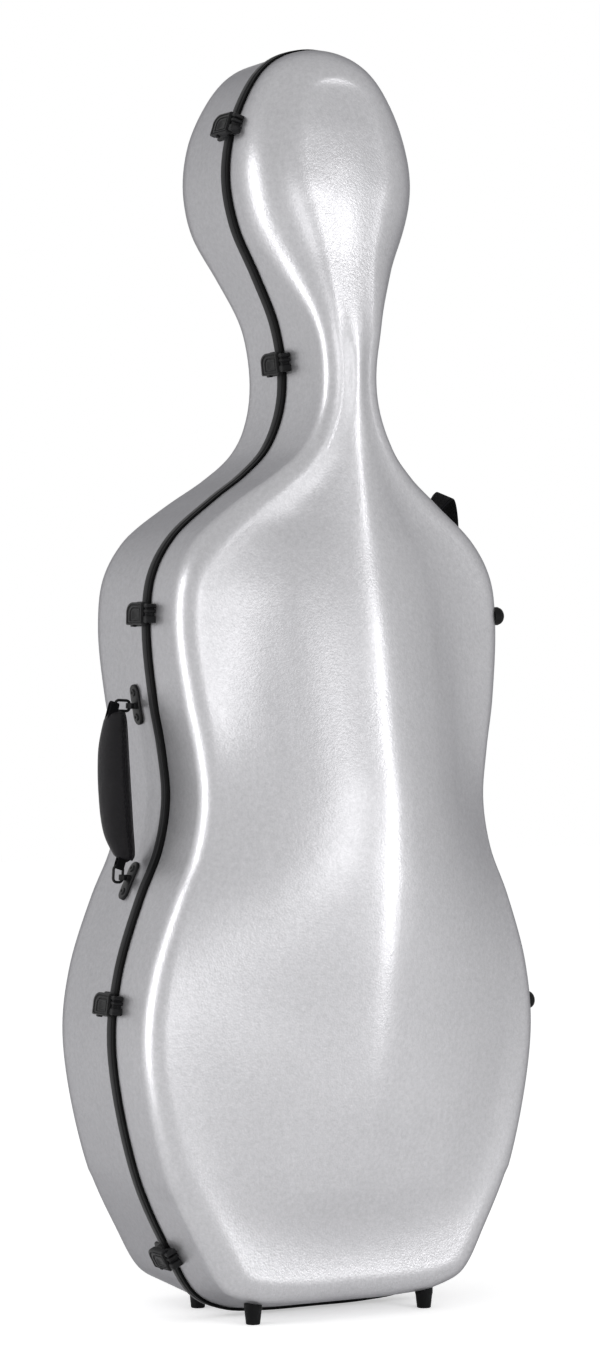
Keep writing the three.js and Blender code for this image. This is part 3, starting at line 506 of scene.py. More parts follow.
def turned_grid(profile, sides):
    """A profile of (radius, height) turned about the third axis."""
    profile = np.array(profile, float)
    profile[:, 0] = np.maximum(profile[:, 0], POLE)
    angle = np.arange(sides) * 2 * math.pi / sides
    flat = profile[:, None, :1] * np.column_stack([np.cos(angle), np.sin(angle)])
    return np.concatenate([flat, np.broadcast_to(profile[:, None, 1:], flat.shape[:2] + (1,))], axis=2)


def rod_grid(radius, start, end, bevel, flat, bore=0.0, sides=24):
    """A rod or a tube along the first axis, whose ends are bevelled down to a flat of its own radius."""
    radii = (bore, flat, radius, radius, flat, bore)
    places = (start, start, start + bevel, end - bevel, end, end)
    return turned_grid(list(zip(radii, places)), sides)[..., [2, 0, 1]]


def swept_grid(section, path, up):
    """A closed flat section carried along a path: at each place it lies square to the path, with
    its second axis as near to up as it can."""
    tangent = unit(np.gradient(path, axis=0))
    side = unit(np.cross(tangent, up))
    rise = np.cross(side, tangent)
    return path[:, None] + section[None, :, :1] * side[:, None] + section[None, :, 1:] * rise[:, None]


def round_section(radius, sides):
    """A circle round the path of a wire or a cord."""
    angle = np.arange(sides) * 2 * math.pi / sides
    return radius * np.column_stack([np.cos(angle), np.sin(angle)])


def band_grid(path, width, thickness, corner, across):
    """A flat band along a path, whose width lies along across, and its UV map in metres: across
    the band and along it."""
    edge = box_outline(-thickness / 2, thickness / 2, -width / 2, width / 2, corner, 4)
    grid = swept_grid(edge, path, across)
    run = np.concatenate([[0], np.cumsum(np.linalg.norm(np.diff(path, axis=0), axis=1))])
    uv = np.stack(np.broadcast_arrays(edge[None, :, 1], run[:, None]), axis=2).reshape(-1, 2)
    return grid, np.vstack([uv, [(0, run[0]), (0, run[-1])]])


def screw_grid(x, y, z, radius=0.0034, rise=0.0012):
    """A round screw head: a domed rim round a dished middle, turned from shares of its radius and
    its rise."""
    root = 0.001
    dome_shares = [(1, 0.3), (0.9, 0.8), (0.62, 1), (0.42, 0.9), (0.3, 0.2), (0, 0.2)]
    profile = [(0, z - root), (radius, z - root)]
    profile += [(radius * out, z + rise * up) for out, up in dome_shares]
    return turned_grid(profile, 24) + np.array([x, y, 0])


# Materials

MATERIALS = {}


class Shader:
    """A Principled material that is built node by node, on Object coordinates or on the UV map.
    Noise and cells are given per metre."""

    def __init__(self, name, colour, roughness, metallic=0.0, uv=False):
        self.material = bpy.data.materials.new(name)
        self.material.use_nodes = True
        self.tree = self.material.node_tree
        self.tree.nodes.clear()
        self.bsdf = self.tree.nodes.new("ShaderNodeBsdfPrincipled")
        output = self.tree.nodes.new("ShaderNodeOutputMaterial")
        self.link(self.bsdf.outputs["BSDF"], output, "Surface")
        self.set(Base_Color=(*colour, 1), Roughness=roughness, Metallic=metallic)
        self.colour = colour
        coordinates = self.tree.nodes.new("ShaderNodeTexCoord")
        self.place = coordinates.outputs["UV" if uv else "Object"]

    def link(self, source, target, socket):
        """Joins an output to a named or numbered input."""
        self.tree.links.new(source, target.inputs[socket])

    def set(self, **values):
        """Constants on the shader's own sockets."""
        for key, value in values.items():
            self.bsdf.inputs[key.replace("_", " ")].default_value = value
        return self

    def noise(self, scale, detail, rough=0.5, output="Fac"):
        """Fractal noise, as a factor or as a colour."""
        made = self.tree.nodes.new("ShaderNodeTexNoise")
        for key, value in (("Scale", scale), ("Detail", detail), ("Roughness", rough)):
            made.inputs[key].default_value = value
        self.link(self.place, made, "Vector")
        return made.outputs[output]

    def cells(self, scale, feature="F1", place=None):
        """Distance to the middles or the edges of the cells of a Voronoi pattern."""
        made = self.tree.nodes.new("ShaderNodeTexVoronoi")
        made.feature = feature
        made.inputs["Scale"].default_value = scale
        self.link(place or self.place, made, "Vector")
        return made.outputs["Distance"]

    def shifted(self, amount, scale):
        """The place, moved about by a noise of a given amount."""
        made = self.tree.nodes.new("ShaderNodeVectorMath")
        made.operation = "MULTIPLY_ADD"
        self.link(self.noise(scale, 2, output="Color"), made, 0)
        made.inputs[1].default_value = (amount, amount, amount)
        self.link(self.place, made, 2)
        return made.outputs[0]

    def math(self, operation, a, b=0.0):
        """One step of arithmetic on outputs or numbers."""
        made = self.tree.nodes.new("ShaderNodeMath")
        made.operation = operation
        for socket, value in enumerate((a, b)):
            if isinstance(value, (int, float)):
                made.inputs[socket].default_value = value
            else:
                self.link(value, made, socket)
        return made.outputs[0]

    def mixed(self, *layers):
        """Sum of layers, each an output and its weight."""
        parts = [self.math("MULTIPLY", layer, weight) for layer, weight in layers]
        total = parts[0]
        for part in parts[1:]:
            total = self.math("ADD", total, part)
        return total

    def spread(self, value, low, high, from_high=1.0):
        """A value from 0 to from_high, drawn out to low to high."""
        made = self.tree.nodes.new("ShaderNodeMapRange")
        for key, number in (("From Max", from_high), ("To Min", low), ("To Max", high)):
            made.inputs[key].default_value = number
        self.link(value, made, "Value")
        return made.outputs["Result"]

    def shade(self, value, darker, lighter):
        """Base colour between two multiples of the finish's own colour."""
        made = self.tree.nodes.new("ShaderNodeValToRGB")
        for element, place, share in zip(made.color_ramp.elements, (0.25, 0.75), (darker, lighter)):
            element.position = place
            element.color = (*[min(c * share, 1) for c in self.colour], 1)
        self.link(value, made, "Fac")
        self.link(made.outputs["Color"], self.bsdf, "Base Color")

    def roughen(self, value, low, high):
        """Roughness from low to high with a value."""
        self.link(self.spread(value, low, high), self.bsdf, "Roughness")

    def bump(self, height, distance, strength):
        """Bumps of a height in metres, at a strength."""
        made = self.tree.nodes.new("ShaderNodeBump")
        made.inputs["Strength"].default_value = strength
        made.inputs["Distance"].default_value = distance
        self.link(height, made, "Height")
        self.link(made.outputs["Normal"], self.bsdf, "Normal")


def plain_finish(
    name, colour, roughness, mottle, shades, dust, rough_span, grain, depth, strength, metallic=0.0
):
    """A finish of one colour: a mottle that shades it, a dust that varies its roughness and a grain
    of small bumps. Each of the three is a noise of (scale, detail)."""
    m = Shader(name, colour, roughness, metallic)
    m.shade(m.noise(*mottle), *shades)
    m.roughen(m.noise(*dust), *rough_span)
    m.bump(m.noise(*grain), depth, strength)
    return m


def painted_shell():
    """Satin silver paint over a moulding with a pebble of about two millimetres."""
    m = Shader("silver_pebble_paint", colours().shell, 0.36, 0.92)
    broad, mottle, speck = m.noise(9, 3), m.noise(230, 4, 0.65), m.noise(640, 2)
    m.shade(m.mixed((mottle, 0.6), (speck, 0.25), (broad, 0.15)), 0.84, 1.16)
    m.roughen(m.noise(60, 4), 0.33, 0.39)
    m.bump(m.mixed((m.cells(430), -0.8), (mottle, 0.9)), 0.00025, 0.45)
    return m.set(Specular_Tint=(0.25, 0.25, 0.26, 1))


def rim_plastic(name, colour, roughness, shine):
    """Extruded plastic with a little dust."""
    return plain_finish(
        name, colour, roughness, mottle=(35, 4), shades=(0.85, 1.2), dust=(140, 3),
        rough_span=(roughness - 0.06, roughness + 0.08), grain=(1400, 2), depth=0.0001, strength=0.4,
    ).set(Specular_IOR_Level=shine)


def moulded_plastic():
    """Charcoal moulded plastic with a fine spark-eroded grain, rubbed paler here and there."""
    m = Shader("charcoal_plastic", colours().latch, 0.46)
    m.shade(m.mixed((m.noise(160, 4), 1), (m.noise(1500, 2), 0.2)), 0.75, 1.5)
    m.roughen(m.noise(300, 3), 0.38, 0.56)
    m.bump(m.noise(2200, 2), 0.00012, 0.6)
    return m.set(Specular_IOR_Level=0.14)


def rubber():
    """Black rubber, dull and slightly dusty."""
    return plain_finish(
        "black_rubber", colours().rubber, 0.62, mottle=(90, 4), shades=(0.7, 1.6), dust=(200, 3),
        rough_span=(0.52, 0.74), grain=(1200, 3), depth=0.00015, strength=0.5,
    ).set(Specular_IOR_Level=0.1)


def painted_metal():
    """Black painted metal with a slight orange peel."""
    return plain_finish(
        "black_painted_metal", colours().metal, 0.36, mottle=(120, 3), shades=(0.8, 1.35), dust=(260, 3),
        rough_span=(0.28, 0.44), grain=(700, 2), depth=0.00008, strength=0.5,
    ).set(Specular_IOR_Level=0.18)


def bright_steel():
    """Turned steel with fine scratches."""
    return plain_finish(
        "bright_steel", colours().steel, 0.3, mottle=(80, 3), shades=(0.9, 1.1), dust=(500, 4),
        rough_span=(0.22, 0.38), grain=(2500, 2), depth=0.00004, strength=0.5, metallic=1.0,
    )


def grip_leather():
    """Black leather: a net of creases round grains of about a millimetre, darker in the creases."""
    m = Shader("grip_leather", colours().leather, 0.4)
    crease = m.cells(780, "DISTANCE_TO_EDGE", m.shifted(0.0016, 90))
    grain = m.spread(crease, 0, 1, 0.22)
    m.shade(m.mixed((grain, 0.6), (m.noise(50, 4), 0.5)), 0.55, 1.35)
    m.roughen(m.noise(180, 3), 0.34, 0.48)
    m.bump(m.mixed((grain, 1), (m.noise(700, 3), 0.4)), 0.00028, 0.7)
    return m.set(Specular_IOR_Level=0.24)


def woven_webbing():
    """Webbing on the strap's own UV map: ribs along it, |sine of the place across|, and steps of the
    weft, |sine of the place along|."""
    rib_pitch, step_pitch = 0.0018, 0.0026
    m = Shader("black_webbing", colours().webbing, 0.8, uv=True)
    split = m.tree.nodes.new("ShaderNodeSeparateXYZ")
    m.link(m.place, split, 0)
    rib, step = (
        m.math("ABSOLUTE", m.math("SINE", m.math("MULTIPLY", split.outputs[axis], 2 * math.pi / pitch)))
        for axis, pitch in (("X", rib_pitch), ("Y", step_pitch))
    )
    weave = m.math("MULTIPLY", rib, m.math("ADD", m.math("MULTIPLY", step, 0.5), 0.5))
    m.shade(weave, 0.5, 2.0)
    m.bump(weave, 0.0004, 0.8)
    return m.set(Sheen_Weight=0.02, Sheen_Roughness=0.4, Specular_IOR_Level=0.06)


def thread():
    """Twisted polyester thread."""
    m = Shader("black_thread", colours().webbing, 0.7)
    m.shade(m.noise(1800, 2), 0.8, 3.0)
    m.bump(m.noise(2600, 2), 0.0001, 0.5)
    return m.set(Specular_IOR_Level=0.2)


def plush(name, brightness=1.0):
    """Short plush over foam: tufts that catch the light, with a broad nap."""
    m = Shader(name, tuple(c * brightness for c in colours().lining), 0.95)
    tuft = m.noise(1600, 3, 0.7)
    m.shade(m.mixed((tuft, 0.6), (m.noise(14, 3), 0.4)), 0.6, 1.5)
    m.bump(m.mixed((tuft, 1), (m.noise(220, 3), 0.6)), 0.0009, 0.7)
    return m.set(Sheen_Weight=0.6, Sheen_Roughness=0.35, Specular_IOR_Level=0.15)


def make_materials():
    """Every finish, under the name that make_mesh asks for."""
    finishes = {
        "shell": painted_shell(),
        "back_rim": rim_plastic("charcoal_rim", colours().back_rim, 0.42, 0.12),
        # The lid's rim keeps a near-black colour and a low shine: its own colour and a painted shadow of the
        # seam together
        "lid_rim": rim_plastic("black_rim_and_painted_seam_shadow", colours().lid_rim, 0.5, 0.04),
        "latch": moulded_plastic(),
        "rubber": rubber(),
        "metal": painted_metal(),
        "steel": bright_steel(),
        "leather": grip_leather(),
        "webbing": woven_webbing(),
        "thread": thread(),
        "lining": plush("lining_plush"),
        "pad": plush("pad_plush", 0.75),
    }
    MATERIALS.update({key: shader.material for key, shader in finishes.items()})


# Shells


class LidForm:
    """The lid: towards -Y, with a face that rises from its shoulders to a crest."""

    side = -1
    depths, shoulders, slopes = LID_DEPTHS, LID_SHOULDERS, LID_SLOPES
    bottom_draft_share = LID_BOTTOM_DRAFT_SHARE
    rim = "lid_rim"
    face_steps = 46

    @staticmethod
    def crest(share):
        """Depth of the middle line at a share of the height."""
        return along(LID_CRESTS, share)

    @staticmethod
    def rise(reach, share):
        """Share of the rise at a reach: a smooth cubic through the rises of that height."""
        rows = along(FACE_RISE_SHARES, share)
        reaches = np.array(FACE_REACH_SHARES)
        slopes = np.gradient(rows, reaches, axis=-1)
        slopes[..., 0] = 0
        k = np.clip(np.searchsorted(reaches, reach, side="right") - 1, 0, len(reaches) - 2)
        run = reaches[k + 1] - reaches[k]
        t = (reach - reaches[k]) / run
        (v0, v1), (m0, m1) = (
            [np.take_along_axis(table, column[..., None], axis=-1)[..., 0] for column in (k, k + 1)]
            for table in (rows, slopes)
        )
        return cubic(v0, v1, m0 * run, m1 * run, t)


class BackForm:
    """The back shell: towards +Y, with an evenly crowned face."""

    side = 1
    depths, shoulders, slopes = BACK_DEPTHS, BACK_SHOULDERS, [(0, 0), (1, 0)]
    bottom_draft_share = BACK_BOTTOM_DRAFT_SHARE
    rim = "back_rim"
    face_steps = 22

    @staticmethod
    def crest(share):
        """Depth of the middle line: the shoulder's depth and the crown."""
        return along(BACK_DEPTHS, share) + BACK_CROWN

    @staticmethod
    def rise(reach, share):
        """Share of the rise at a reach: 1 less its square, at every height."""
        return 1 - reach**2


def spine_height(z):
    """Height on the middle line that an edge place is drawn in to: level near both ends, with an
    eased bend where it starts to follow."""
    s = sizes()
    low = SEAM_HEIGHT + SPINE_LOW_SHARE * s.height
    high = SEAM_HEIGHT + SPINE_HIGH_SHARE * s.height
    up = low + SPINE_EASE * np.logaddexp(0, (z - low) / SPINE_EASE)
    return high - SPINE_EASE * np.logaddexp(0, (high - up) / SPINE_EASE)


def skin_rings(form, inset, edge, wall_steps, arc_steps, face_steps):
    """Rings of a moulding's face, from its edge at the seam to its middle line: a drafted wall, a
    shoulder of one radius that stops at the face's own slope, and the face, whose rise fades out
    at its top and bottom end."""
    s = sizes()
    loop = seam_loop()
    x, z, nx, nz, share = loop.T
    depth = along(form.depths, share)
    radius = along(form.shoulders, share)
    slope = np.radians(along(form.slopes, share))
    bottom = np.maximum(0, nz) ** 2 * (share < DRAFT_END_SHARE)
    draft = DRAFT_SHARE + (form.bottom_draft_share - DRAFT_SHARE) * bottom
    wall_end = depth - radius

    def ring(offset, y):
        """The seam moved inwards by an offset and out to a depth."""
        return np.column_stack([x + nx * offset, form.side * y, z + nz * offset])

    rings = []
    for t in np.linspace(0, 1, wall_steps, endpoint=False):
        y = edge + (wall_end - edge) * t
        rings.append(ring(inset + draft * y, y * np.ones_like(x)))
    small = np.maximum(radius - inset, GAP)
    for t in np.linspace(0, 1, arc_steps + 1):
        angle = t * (math.pi / 2 - slope)
        offset = draft * wall_end + radius - small * np.cos(angle)
        rings.append(ring(offset, wall_end + small * np.sin(angle)))
    face = rings[-1]
    edge_half = face[: len(face) // 2 + 1]
    spine = spine_height(face[:, 2])
    for reach in np.linspace(1, 0, face_steps + 1)[1:]:
        px, pz = face[:, 0] * reach, spine + (face[:, 2] - spine) * reach
        at = (pz - SEAM_HEIGHT) / s.height
        low = np.interp(pz, edge_half[:, 2], np.abs(edge_half[:, 1]))
        wide = np.interp(pz, edge_half[:, 2], edge_half[:, 0])
        across = np.clip(np.abs(px) / np.maximum(wide, WALL), 0, 1)
        ends = np.clip(np.minimum(pz - edge_half[0, 2], edge_half[-1, 2] - pz) / FACE_END, 0, 1)
        y = low + (form.crest(at) - inset - low) * form.rise(across, at) * ends**2 * (3 - 2 * ends)
        rings.append(np.column_stack([px, form.side * y, pz]))
    return np.array(rings)


def make_skin(name, outside, inside, finish, sharp):
    """A closed skin from an outer and an inner set of rings that meet at the seam edge. Each set's
    last ring lies doubled on its middle line, where its places are joined."""
    grid = to_scene(np.concatenate([outside[::-1], inside]))
    piece = make_mesh(name, [(grid, OPEN)], finish, sharp)
    mesh = bmesh.new()
    mesh.from_mesh(piece.data)
    bmesh.ops.remove_doubles(mesh, verts=mesh.verts, dist=MERGE_DISTANCE)
    bmesh.ops.dissolve_degenerate(mesh, edges=mesh.edges, dist=SHORTEST_EDGE)
    mesh.to_mesh(piece.data)
    mesh.free()
    return piece


def make_shell(form, node, body):
    """A shell of one wall thickness: the formed outside, and the same form set in by the wall."""
    edge = getattr(sizes(), form.rim) + GAP
    outside = skin_rings(form, 0, edge, wall_steps=10, arc_steps=14, face_steps=form.face_steps)
    inside = skin_rings(form, WALL, edge, wall_steps=2, arc_steps=6, face_steps=14)
    piece = make_skin(f"dressed_{node}", outside, inside, "shell", SKIN)
    finish_piece(piece, body, node)


def make_lining(form, node, body):
    """A foam lining: the shell's form set in by its wall, and again by the foam's thickness."""
    edge, step_back = getattr(sizes(), form.rim) + GAP, 0.002
    outer = skin_rings(form, WALL + GAP, edge, wall_steps=2, arc_steps=5, face_steps=10)
    inner = skin_rings(form, WALL + GAP + FOAM, edge + step_back, wall_steps=5, arc_steps=8, face_steps=20)
    piece = make_skin(f"dressed_{node}", outer, inner, "lining", SOFT)
    finish_piece(piece, body, node)


def rim_grid(inner, outer, low, high, radius):
    """A rounded box of (offset inwards, place across the seam) carried round the seam."""
    x, z, nx, nz, _ = seam_loop().T
    profile = box_outline(outer, inner, low, high, radius, 4)
    offset, y = profile[:, :1], profile[:, 1:]
    grid = np.stack([x + nx * offset, np.broadcast_to(y, (len(profile), len(x))), z + nz * offset], axis=2)
    return to_scene(grid)


def make_rims():
    """The rims of both shells and the seal behind them; the lid's rim stands off a little less."""
    s = sizes()
    bead, seal_bead, step = 0.0016, 0.0012, 0.0004
    seal_outer = s.rim_inner + GAP
    back = rim_grid(s.rim_inner, -s.rim_proud, GAP / 2, s.back_rim, bead)
    lid = rim_grid(s.rim_inner, -s.rim_proud + step, -s.lid_rim, -GAP / 2, bead)
    seal = rim_grid(seal_outer + FOAM / 4, seal_outer, -s.lid_rim, -GAP, seal_bead)
    for name, grid, finish, slot, node in (
        ("back_rim_extrusion", back, "back_rim", "back_rim", "back_rim"),
        ("lid_rim_extrusion", lid, "lid_rim", "lid_rim", "lid_rim"),
        ("seam_seal_strip", seal, "rubber", "seal", "seam_seal"),
    ):
        finish_piece(make_mesh(name, [(grid, RING)], finish, WOVEN), body_of(node), node)


# Latches

# How deep the latches' soles reach into the wall
LATCH_ROOT = 0.004

# A lever's skin from its edge to its middle, as (inset, depth below the top, share of the outline):
# the rounded edge and the thumb's hollow, and between them a rib at each of two shares. A rib's
# rows are (depth below the top, share that is added to the rib's own).
LEVER_EDGE = [(0, 0.0015, CENTRE_SHARE), (0, 0.0015, 1), (0.0003, 0.0009, 1), (0.0011, 0.0005, 1)]
LEVER_HOLLOW = [(0, 0.0001, 0.4), (0, 0.0009, 0.34), (0, 0.0011, CENTRE_SHARE)]
LEVER_RIB_SHARES = [0.84, 0.6]
LEVER_RIB = [(0.0003, 0.06), (0, 0.02), (0.0011, -0.01), (0.0011, -0.07), (0.0002, -0.1)]

# The keeper's claws along its half width, as shares of it
CLAW_SHARES = [(-1, -0.24), (0.06, 0.44), (0.56, 1)]


def latch_places():
    """Places that a latch's pieces share, in a frame on the wall: x up the seam, y towards the back
    and z outwards. sweep is the room round the pin that the lever's tail needs to turn."""
    s = sizes()
    pin_reach, tail, nose, pin_share = 0.011, 0.006, 0.003, 0.45
    low = s.latch_sole + 2 * GAP
    top, pin_z = low + s.lever, low + s.lever * pin_share
    pin_y = s.back_rim + pin_reach
    return SimpleNamespace(
        half=s.latch_width / 2, low=low, top=top, pin_y=pin_y, pin_z=pin_z, back=pin_y + tail,
        front=-s.lid_rim - nose, sweep=math.hypot(tail, top - pin_z) + 2 * GAP, stem_half=0.004,
    )


def lever_outline(front, back, half):
    """A lever's outline, whose upper back corner is a wide elliptic arc and the others are small."""
    sweep_x_share, sweep_y_share, tail_corner, nose_corner = 0.85, 0.36, 0.0022, 0.0014
    return arc_outline([
        (half, back, sweep_x_share * half, sweep_y_share * (back - front), 17),
        (-half, back, tail_corner, tail_corner, 6),
        (-half, front, nose_corner, nose_corner, 5),
        (half, front, nose_corner, nose_corner, 5),
    ])


def clipped(outline, axis, bound, side):
    """The part of a convex outline that lies past a bound along one axis, on the given side."""
    past = side * (outline[:, axis] - bound)
    crosses = past * np.roll(past, -1) < 0
    share = past / np.where(crosses, past - np.roll(past, -1), 1)
    crossing = outline + (np.roll(outline, -1, 0) - outline) * share[:, None]
    order = np.arange(len(outline))
    kept = past >= 0
    rows = np.vstack([outline[kept], crossing[crosses]])
    return rows[np.argsort(np.concatenate([order[kept], order[crosses] + 0.5]))]


def latch_base(p):
    """The sole under the lever, the heel behind it, and a round lug on a web, which hold the pin."""
    s = sizes()
    margin, bevel, corner, lug_radius = 0.0012, 0.0008, 0.001, 0.0019
    web_front, web_back, web_corner, web_bevel = 0.003, 0.0009, 0.0005, 0.0004
    lug_rows = ((0, -1), (lug_radius, -1), (lug_radius, 1), (0, 1))
    lug_profile = [(radius, side * p.stem_half) for radius, side in lug_rows]
    heel_outline = lever_outline(s.back_rim, p.back + margin, p.half + margin)
    sole_outline = box_outline(-p.half, p.half, GAP, p.pin_y - p.sweep, corner)
    web_outline = box_outline(-p.stem_half, p.stem_half, p.pin_y - web_front, p.pin_y + web_back, web_corner)
    return [
        plate_grid(heel_outline, plate_section(-LATCH_ROOT, p.pin_z - p.sweep, bevel)),
        plate_grid(sole_outline, plate_section(-LATCH_ROOT, s.latch_sole, bevel)),
        turned_grid(lug_profile, 24)[..., [2, 0, 1]] + (0, p.pin_y, p.pin_z),
        plate_grid(web_outline, plate_section(-LATCH_ROOT, p.pin_z, web_bevel)),
    ]


def latch_lever(p):
    """The lever: a skin with two ribs and a thumb hollow, over blocks that leave a pocket round the
    base's lug, with a nub on its lower side and a lip along its nose."""
    skin_depth, bevel, pocket_reach = 0.0013, 0.0004, 0.0035
    nub_place, nub_half, nub_out, nub_in = 0.0145, 0.0028, 0.002, 0.001
    nub_rise, nub_corner, nub_bevel = 0.0024, 0.001, 0.0008
    lip_radius, lip_end, lip_in, lip_sink = 0.0011, 0.0018, 0.0012, 0.0004
    thumb_low_share, thumb_reach = 0.2, 0.011
    section = [(inset, p.top - down, share) for inset, down, share in LEVER_EDGE]
    for rib in LEVER_RIB_SHARES:
        section += [(0, p.top - down, rib + share) for down, share in LEVER_RIB]
    section += [(inset, p.top - down, share) for inset, down, share in LEVER_HOLLOW]
    outline = lever_outline(p.front, p.back, p.half)
    skin = plate_grid(outline, section, (-thumb_low_share * p.half, p.front + thumb_reach))
    pocket_x, pocket_y = p.stem_half + 2 * GAP, p.pin_y - pocket_reach
    tail = clipped(outline, 1, pocket_y, 1)
    cheeks = [clipped(tail, 0, side * pocket_x, side) for side in (-1, 1)]
    parts = [clipped(outline, 1, pocket_y, -1), *cheeks]
    block_section = plate_section(p.low, p.top - skin_depth, bevel, steps=2)
    nub_outline = box_outline(
        -p.half - nub_out, -p.half + nub_in, nub_place - nub_half, nub_place + nub_half, nub_corner
    )
    nub = plate_grid(nub_outline, plate_section(p.pin_z - nub_rise, p.pin_z + nub_rise, nub_bevel))
    x = np.linspace(-p.half + lip_end, p.half - lip_end, 9)
    lip_path = np.column_stack([x, np.full_like(x, p.front + lip_in), np.full_like(x, p.top - lip_sink)])
    lip = swept_grid(round_section(lip_radius, 10), lip_path, (0, 0, 1))
    return [skin, *(plate_grid(part, block_section) for part in parts), nub, lip]


def latch_pin(p):
    """The pin through the lever's tail, which ends short of its wide corner."""
    radius, flat_share, bevel, upper_share = 0.0016, 0.7, 0.0004, 0.7
    pin = rod_grid(radius, GAP - p.half, upper_share * p.half, bevel, flat_share * radius)
    return [pin + (0, p.pin_y, p.pin_z)]


def latch_keeper(p):
    """The keeper on the lid: a sole under the lever's nose, and three claws past it on a bar."""
    s = sizes()
    reach, half, root_step = 0.0115, 0.84 * p.half, 0.0035
    sole_down, sole_corner, sole_bevel, bar_in, bar_step = 0.001, 0.002, 0.001, 0.001, 0.004
    bar_front, bar_down, bar_corner, bar_bevel = 0.0012, 0.003, 0.0015, 0.001
    claw_down, claw_corner, claw_bevel = 0.0012, 0.0021, 0.0018
    far = -s.lid_rim - reach
    sole_outline = box_outline(-half, half, far + root_step, -GAP, sole_corner)
    near = p.front - 2 * GAP
    claws = [box_outline(half * x0, half * x1, far, near, claw_corner) for x0, x1 in CLAW_SHARES]
    claw_section = plate_section(-LATCH_ROOT, p.top - claw_down, claw_bevel)
    bar_outline = box_outline(-half + bar_in, half - bar_in, far + bar_step, p.front - bar_front, bar_corner)
    return [
        plate_grid(sole_outline, plate_section(-LATCH_ROOT, s.latch_sole - sole_down, sole_bevel)),
        *(plate_grid(outline, claw_section) for outline in claws),
        plate_grid(bar_outline, plate_section(-LATCH_ROOT, p.top - bar_down, bar_bevel)),
    ]


def make_latches():
    """Five latches down the left wall, each a base, a lever, a pin and a keeper."""
    p = latch_places()
    for number, share in enumerate(LATCH_SHARES, 1):
        place = wall_frame(share, -1, 0)
        for part, grids, finish, sharp, body in (
            ("base", latch_base(p), "latch", HARD, "case_back"),
            ("lever", latch_lever(p), "latch", MOULDED, f"latch_lever_{number}_body"),
            ("pin", latch_pin(p), "steel", HARD, "case_back"),
            ("keeper", latch_keeper(p), "latch", HARD, "lid"),
        ):
            piece = make_mesh(f"latch_{number}_{part}", capped(grids, place), finish, sharp)
            finish_piece(piece, body, f"latch_{part}_{number}")


# Hinges


def hinge_frames():
    """Frames of both hinges, which turn about one straight line that stands off the wall."""
    stand = np.array([[0, 0, sizes().hinge_off]])
    ends = [placed(stand, wall_frame(share, 1, 0))[0] for share in HINGE_SHARES]
    out = np.cross([0, 1, 0], unit(ends[0] - ends[1]))
    return [frame_at(end, out) for end in ends]


def make_hinge(name, place):
    """A hinge in its own frame, x along its line: two leaves with screws, three knuckles on webs
    and a pin. The middle knuckle is the lid's."""
    s = sizes()
    half, middle, reach, thickness, root = s.hinge_length / 2, 0.009, 0.026, 0.003, 0.003
    bevel, leaf_corner, leaf_bevel = 0.0005, 0.004, 0.0008
    web_gap, web_corner, web_bevel = 0.0004, 0.0006, 0.0003
    pin_radius, pin_flat_share, screw_x_share, screw_y_share = 0.0018, 0.8, 0.62, 0.68
    deep, top = -s.hinge_off - root, thickness + s.rim_proud - s.hinge_off

    def leaf(side):
        """A plate on one side of the seam, with three screws."""
        y0, y1 = sorted((side * GAP, side * reach))
        outline = box_outline(-half, half, y0, y1, leaf_corner)
        plate = plate_grid(outline, plate_section(deep, top, leaf_bevel))
        at = half * screw_x_share
        return [plate, *(screw_grid(x, side * reach * screw_y_share, top) for x in (-at, 0, at))]

    def knuckle(x0, x1, side):
        """A rod on the hinge's line, and the web that joins it to its leaf."""
        y0, y1 = sorted((side * web_gap, side * s.knuckle))
        web = plate_grid(box_outline(x0, x1, y0, y1, web_corner), plate_section(deep, 0, web_bevel))
        return [rod_grid(s.knuckle, x0, x1, bevel, s.knuckle - bevel, sides=32), web]

    back = leaf(1) + knuckle(middle + GAP, half, 1) + knuckle(-half, -middle - GAP, 1)
    lid = leaf(-1) + knuckle(-middle, middle, -1)
    pin = [rod_grid(pin_radius, -half - bevel, half + bevel, bevel, pin_flat_share * pin_radius)]
    for part, suffix, grids, finish, slot in (
        ("back_leaf", "plate", back, "metal", "bracket"), ("lid_leaf", "plate", lid, "metal", "bracket"),
        ("pin", "rod", pin, "steel", "steel"),
    ):
        node = f"{name}_{part}"
        piece = make_mesh(f"{node}_{suffix}", capped(grids, place), finish, HARD)
        finish_piece(piece, body_of(node), node)


def make_hinges():
    """Both hinges, on the same line."""
    for name, place in zip(("upper_hinge", "lower_hinge"), hinge_frames()):
        make_hinge(name, place)


# Feet and bumpers


def make_feet():
    """Four feet turned about upright axes: they widen upwards and have a shallow hollow below."""
    top, base, taper, hollow, root, edge = 0.0095, 0.0075, 0.016, 0.0012, 0.003, 0.0002
    hollow_share, tread_share = 0.45, 0.55
    for node in ("front_foot_left", "front_foot_right", "back_foot_left", "back_foot_right"):
        low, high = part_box(node)
        profile = [
            (2 * edge, hollow), (base * hollow_share, hollow), (base * tread_share, 0), (base - 4 * edge, 0),
            (base - edge, 2 * edge), (base, 6 * edge), (top - 3 * edge, taper - 10 * edge),
            (top - edge, taper - 4 * edge), (top, taper), (top, high.z + root), (2 * edge, high.z + root),
        ]
        grid = turned_grid(profile, 40) + np.array([(low.x + high.x) / 2, (low.y + high.y) / 2, 0])
        piece = make_mesh(f"{node}_rubber", [(grid, CAPPED)], "rubber", MOULDED)
        finish_piece(piece, body_of(node), node)


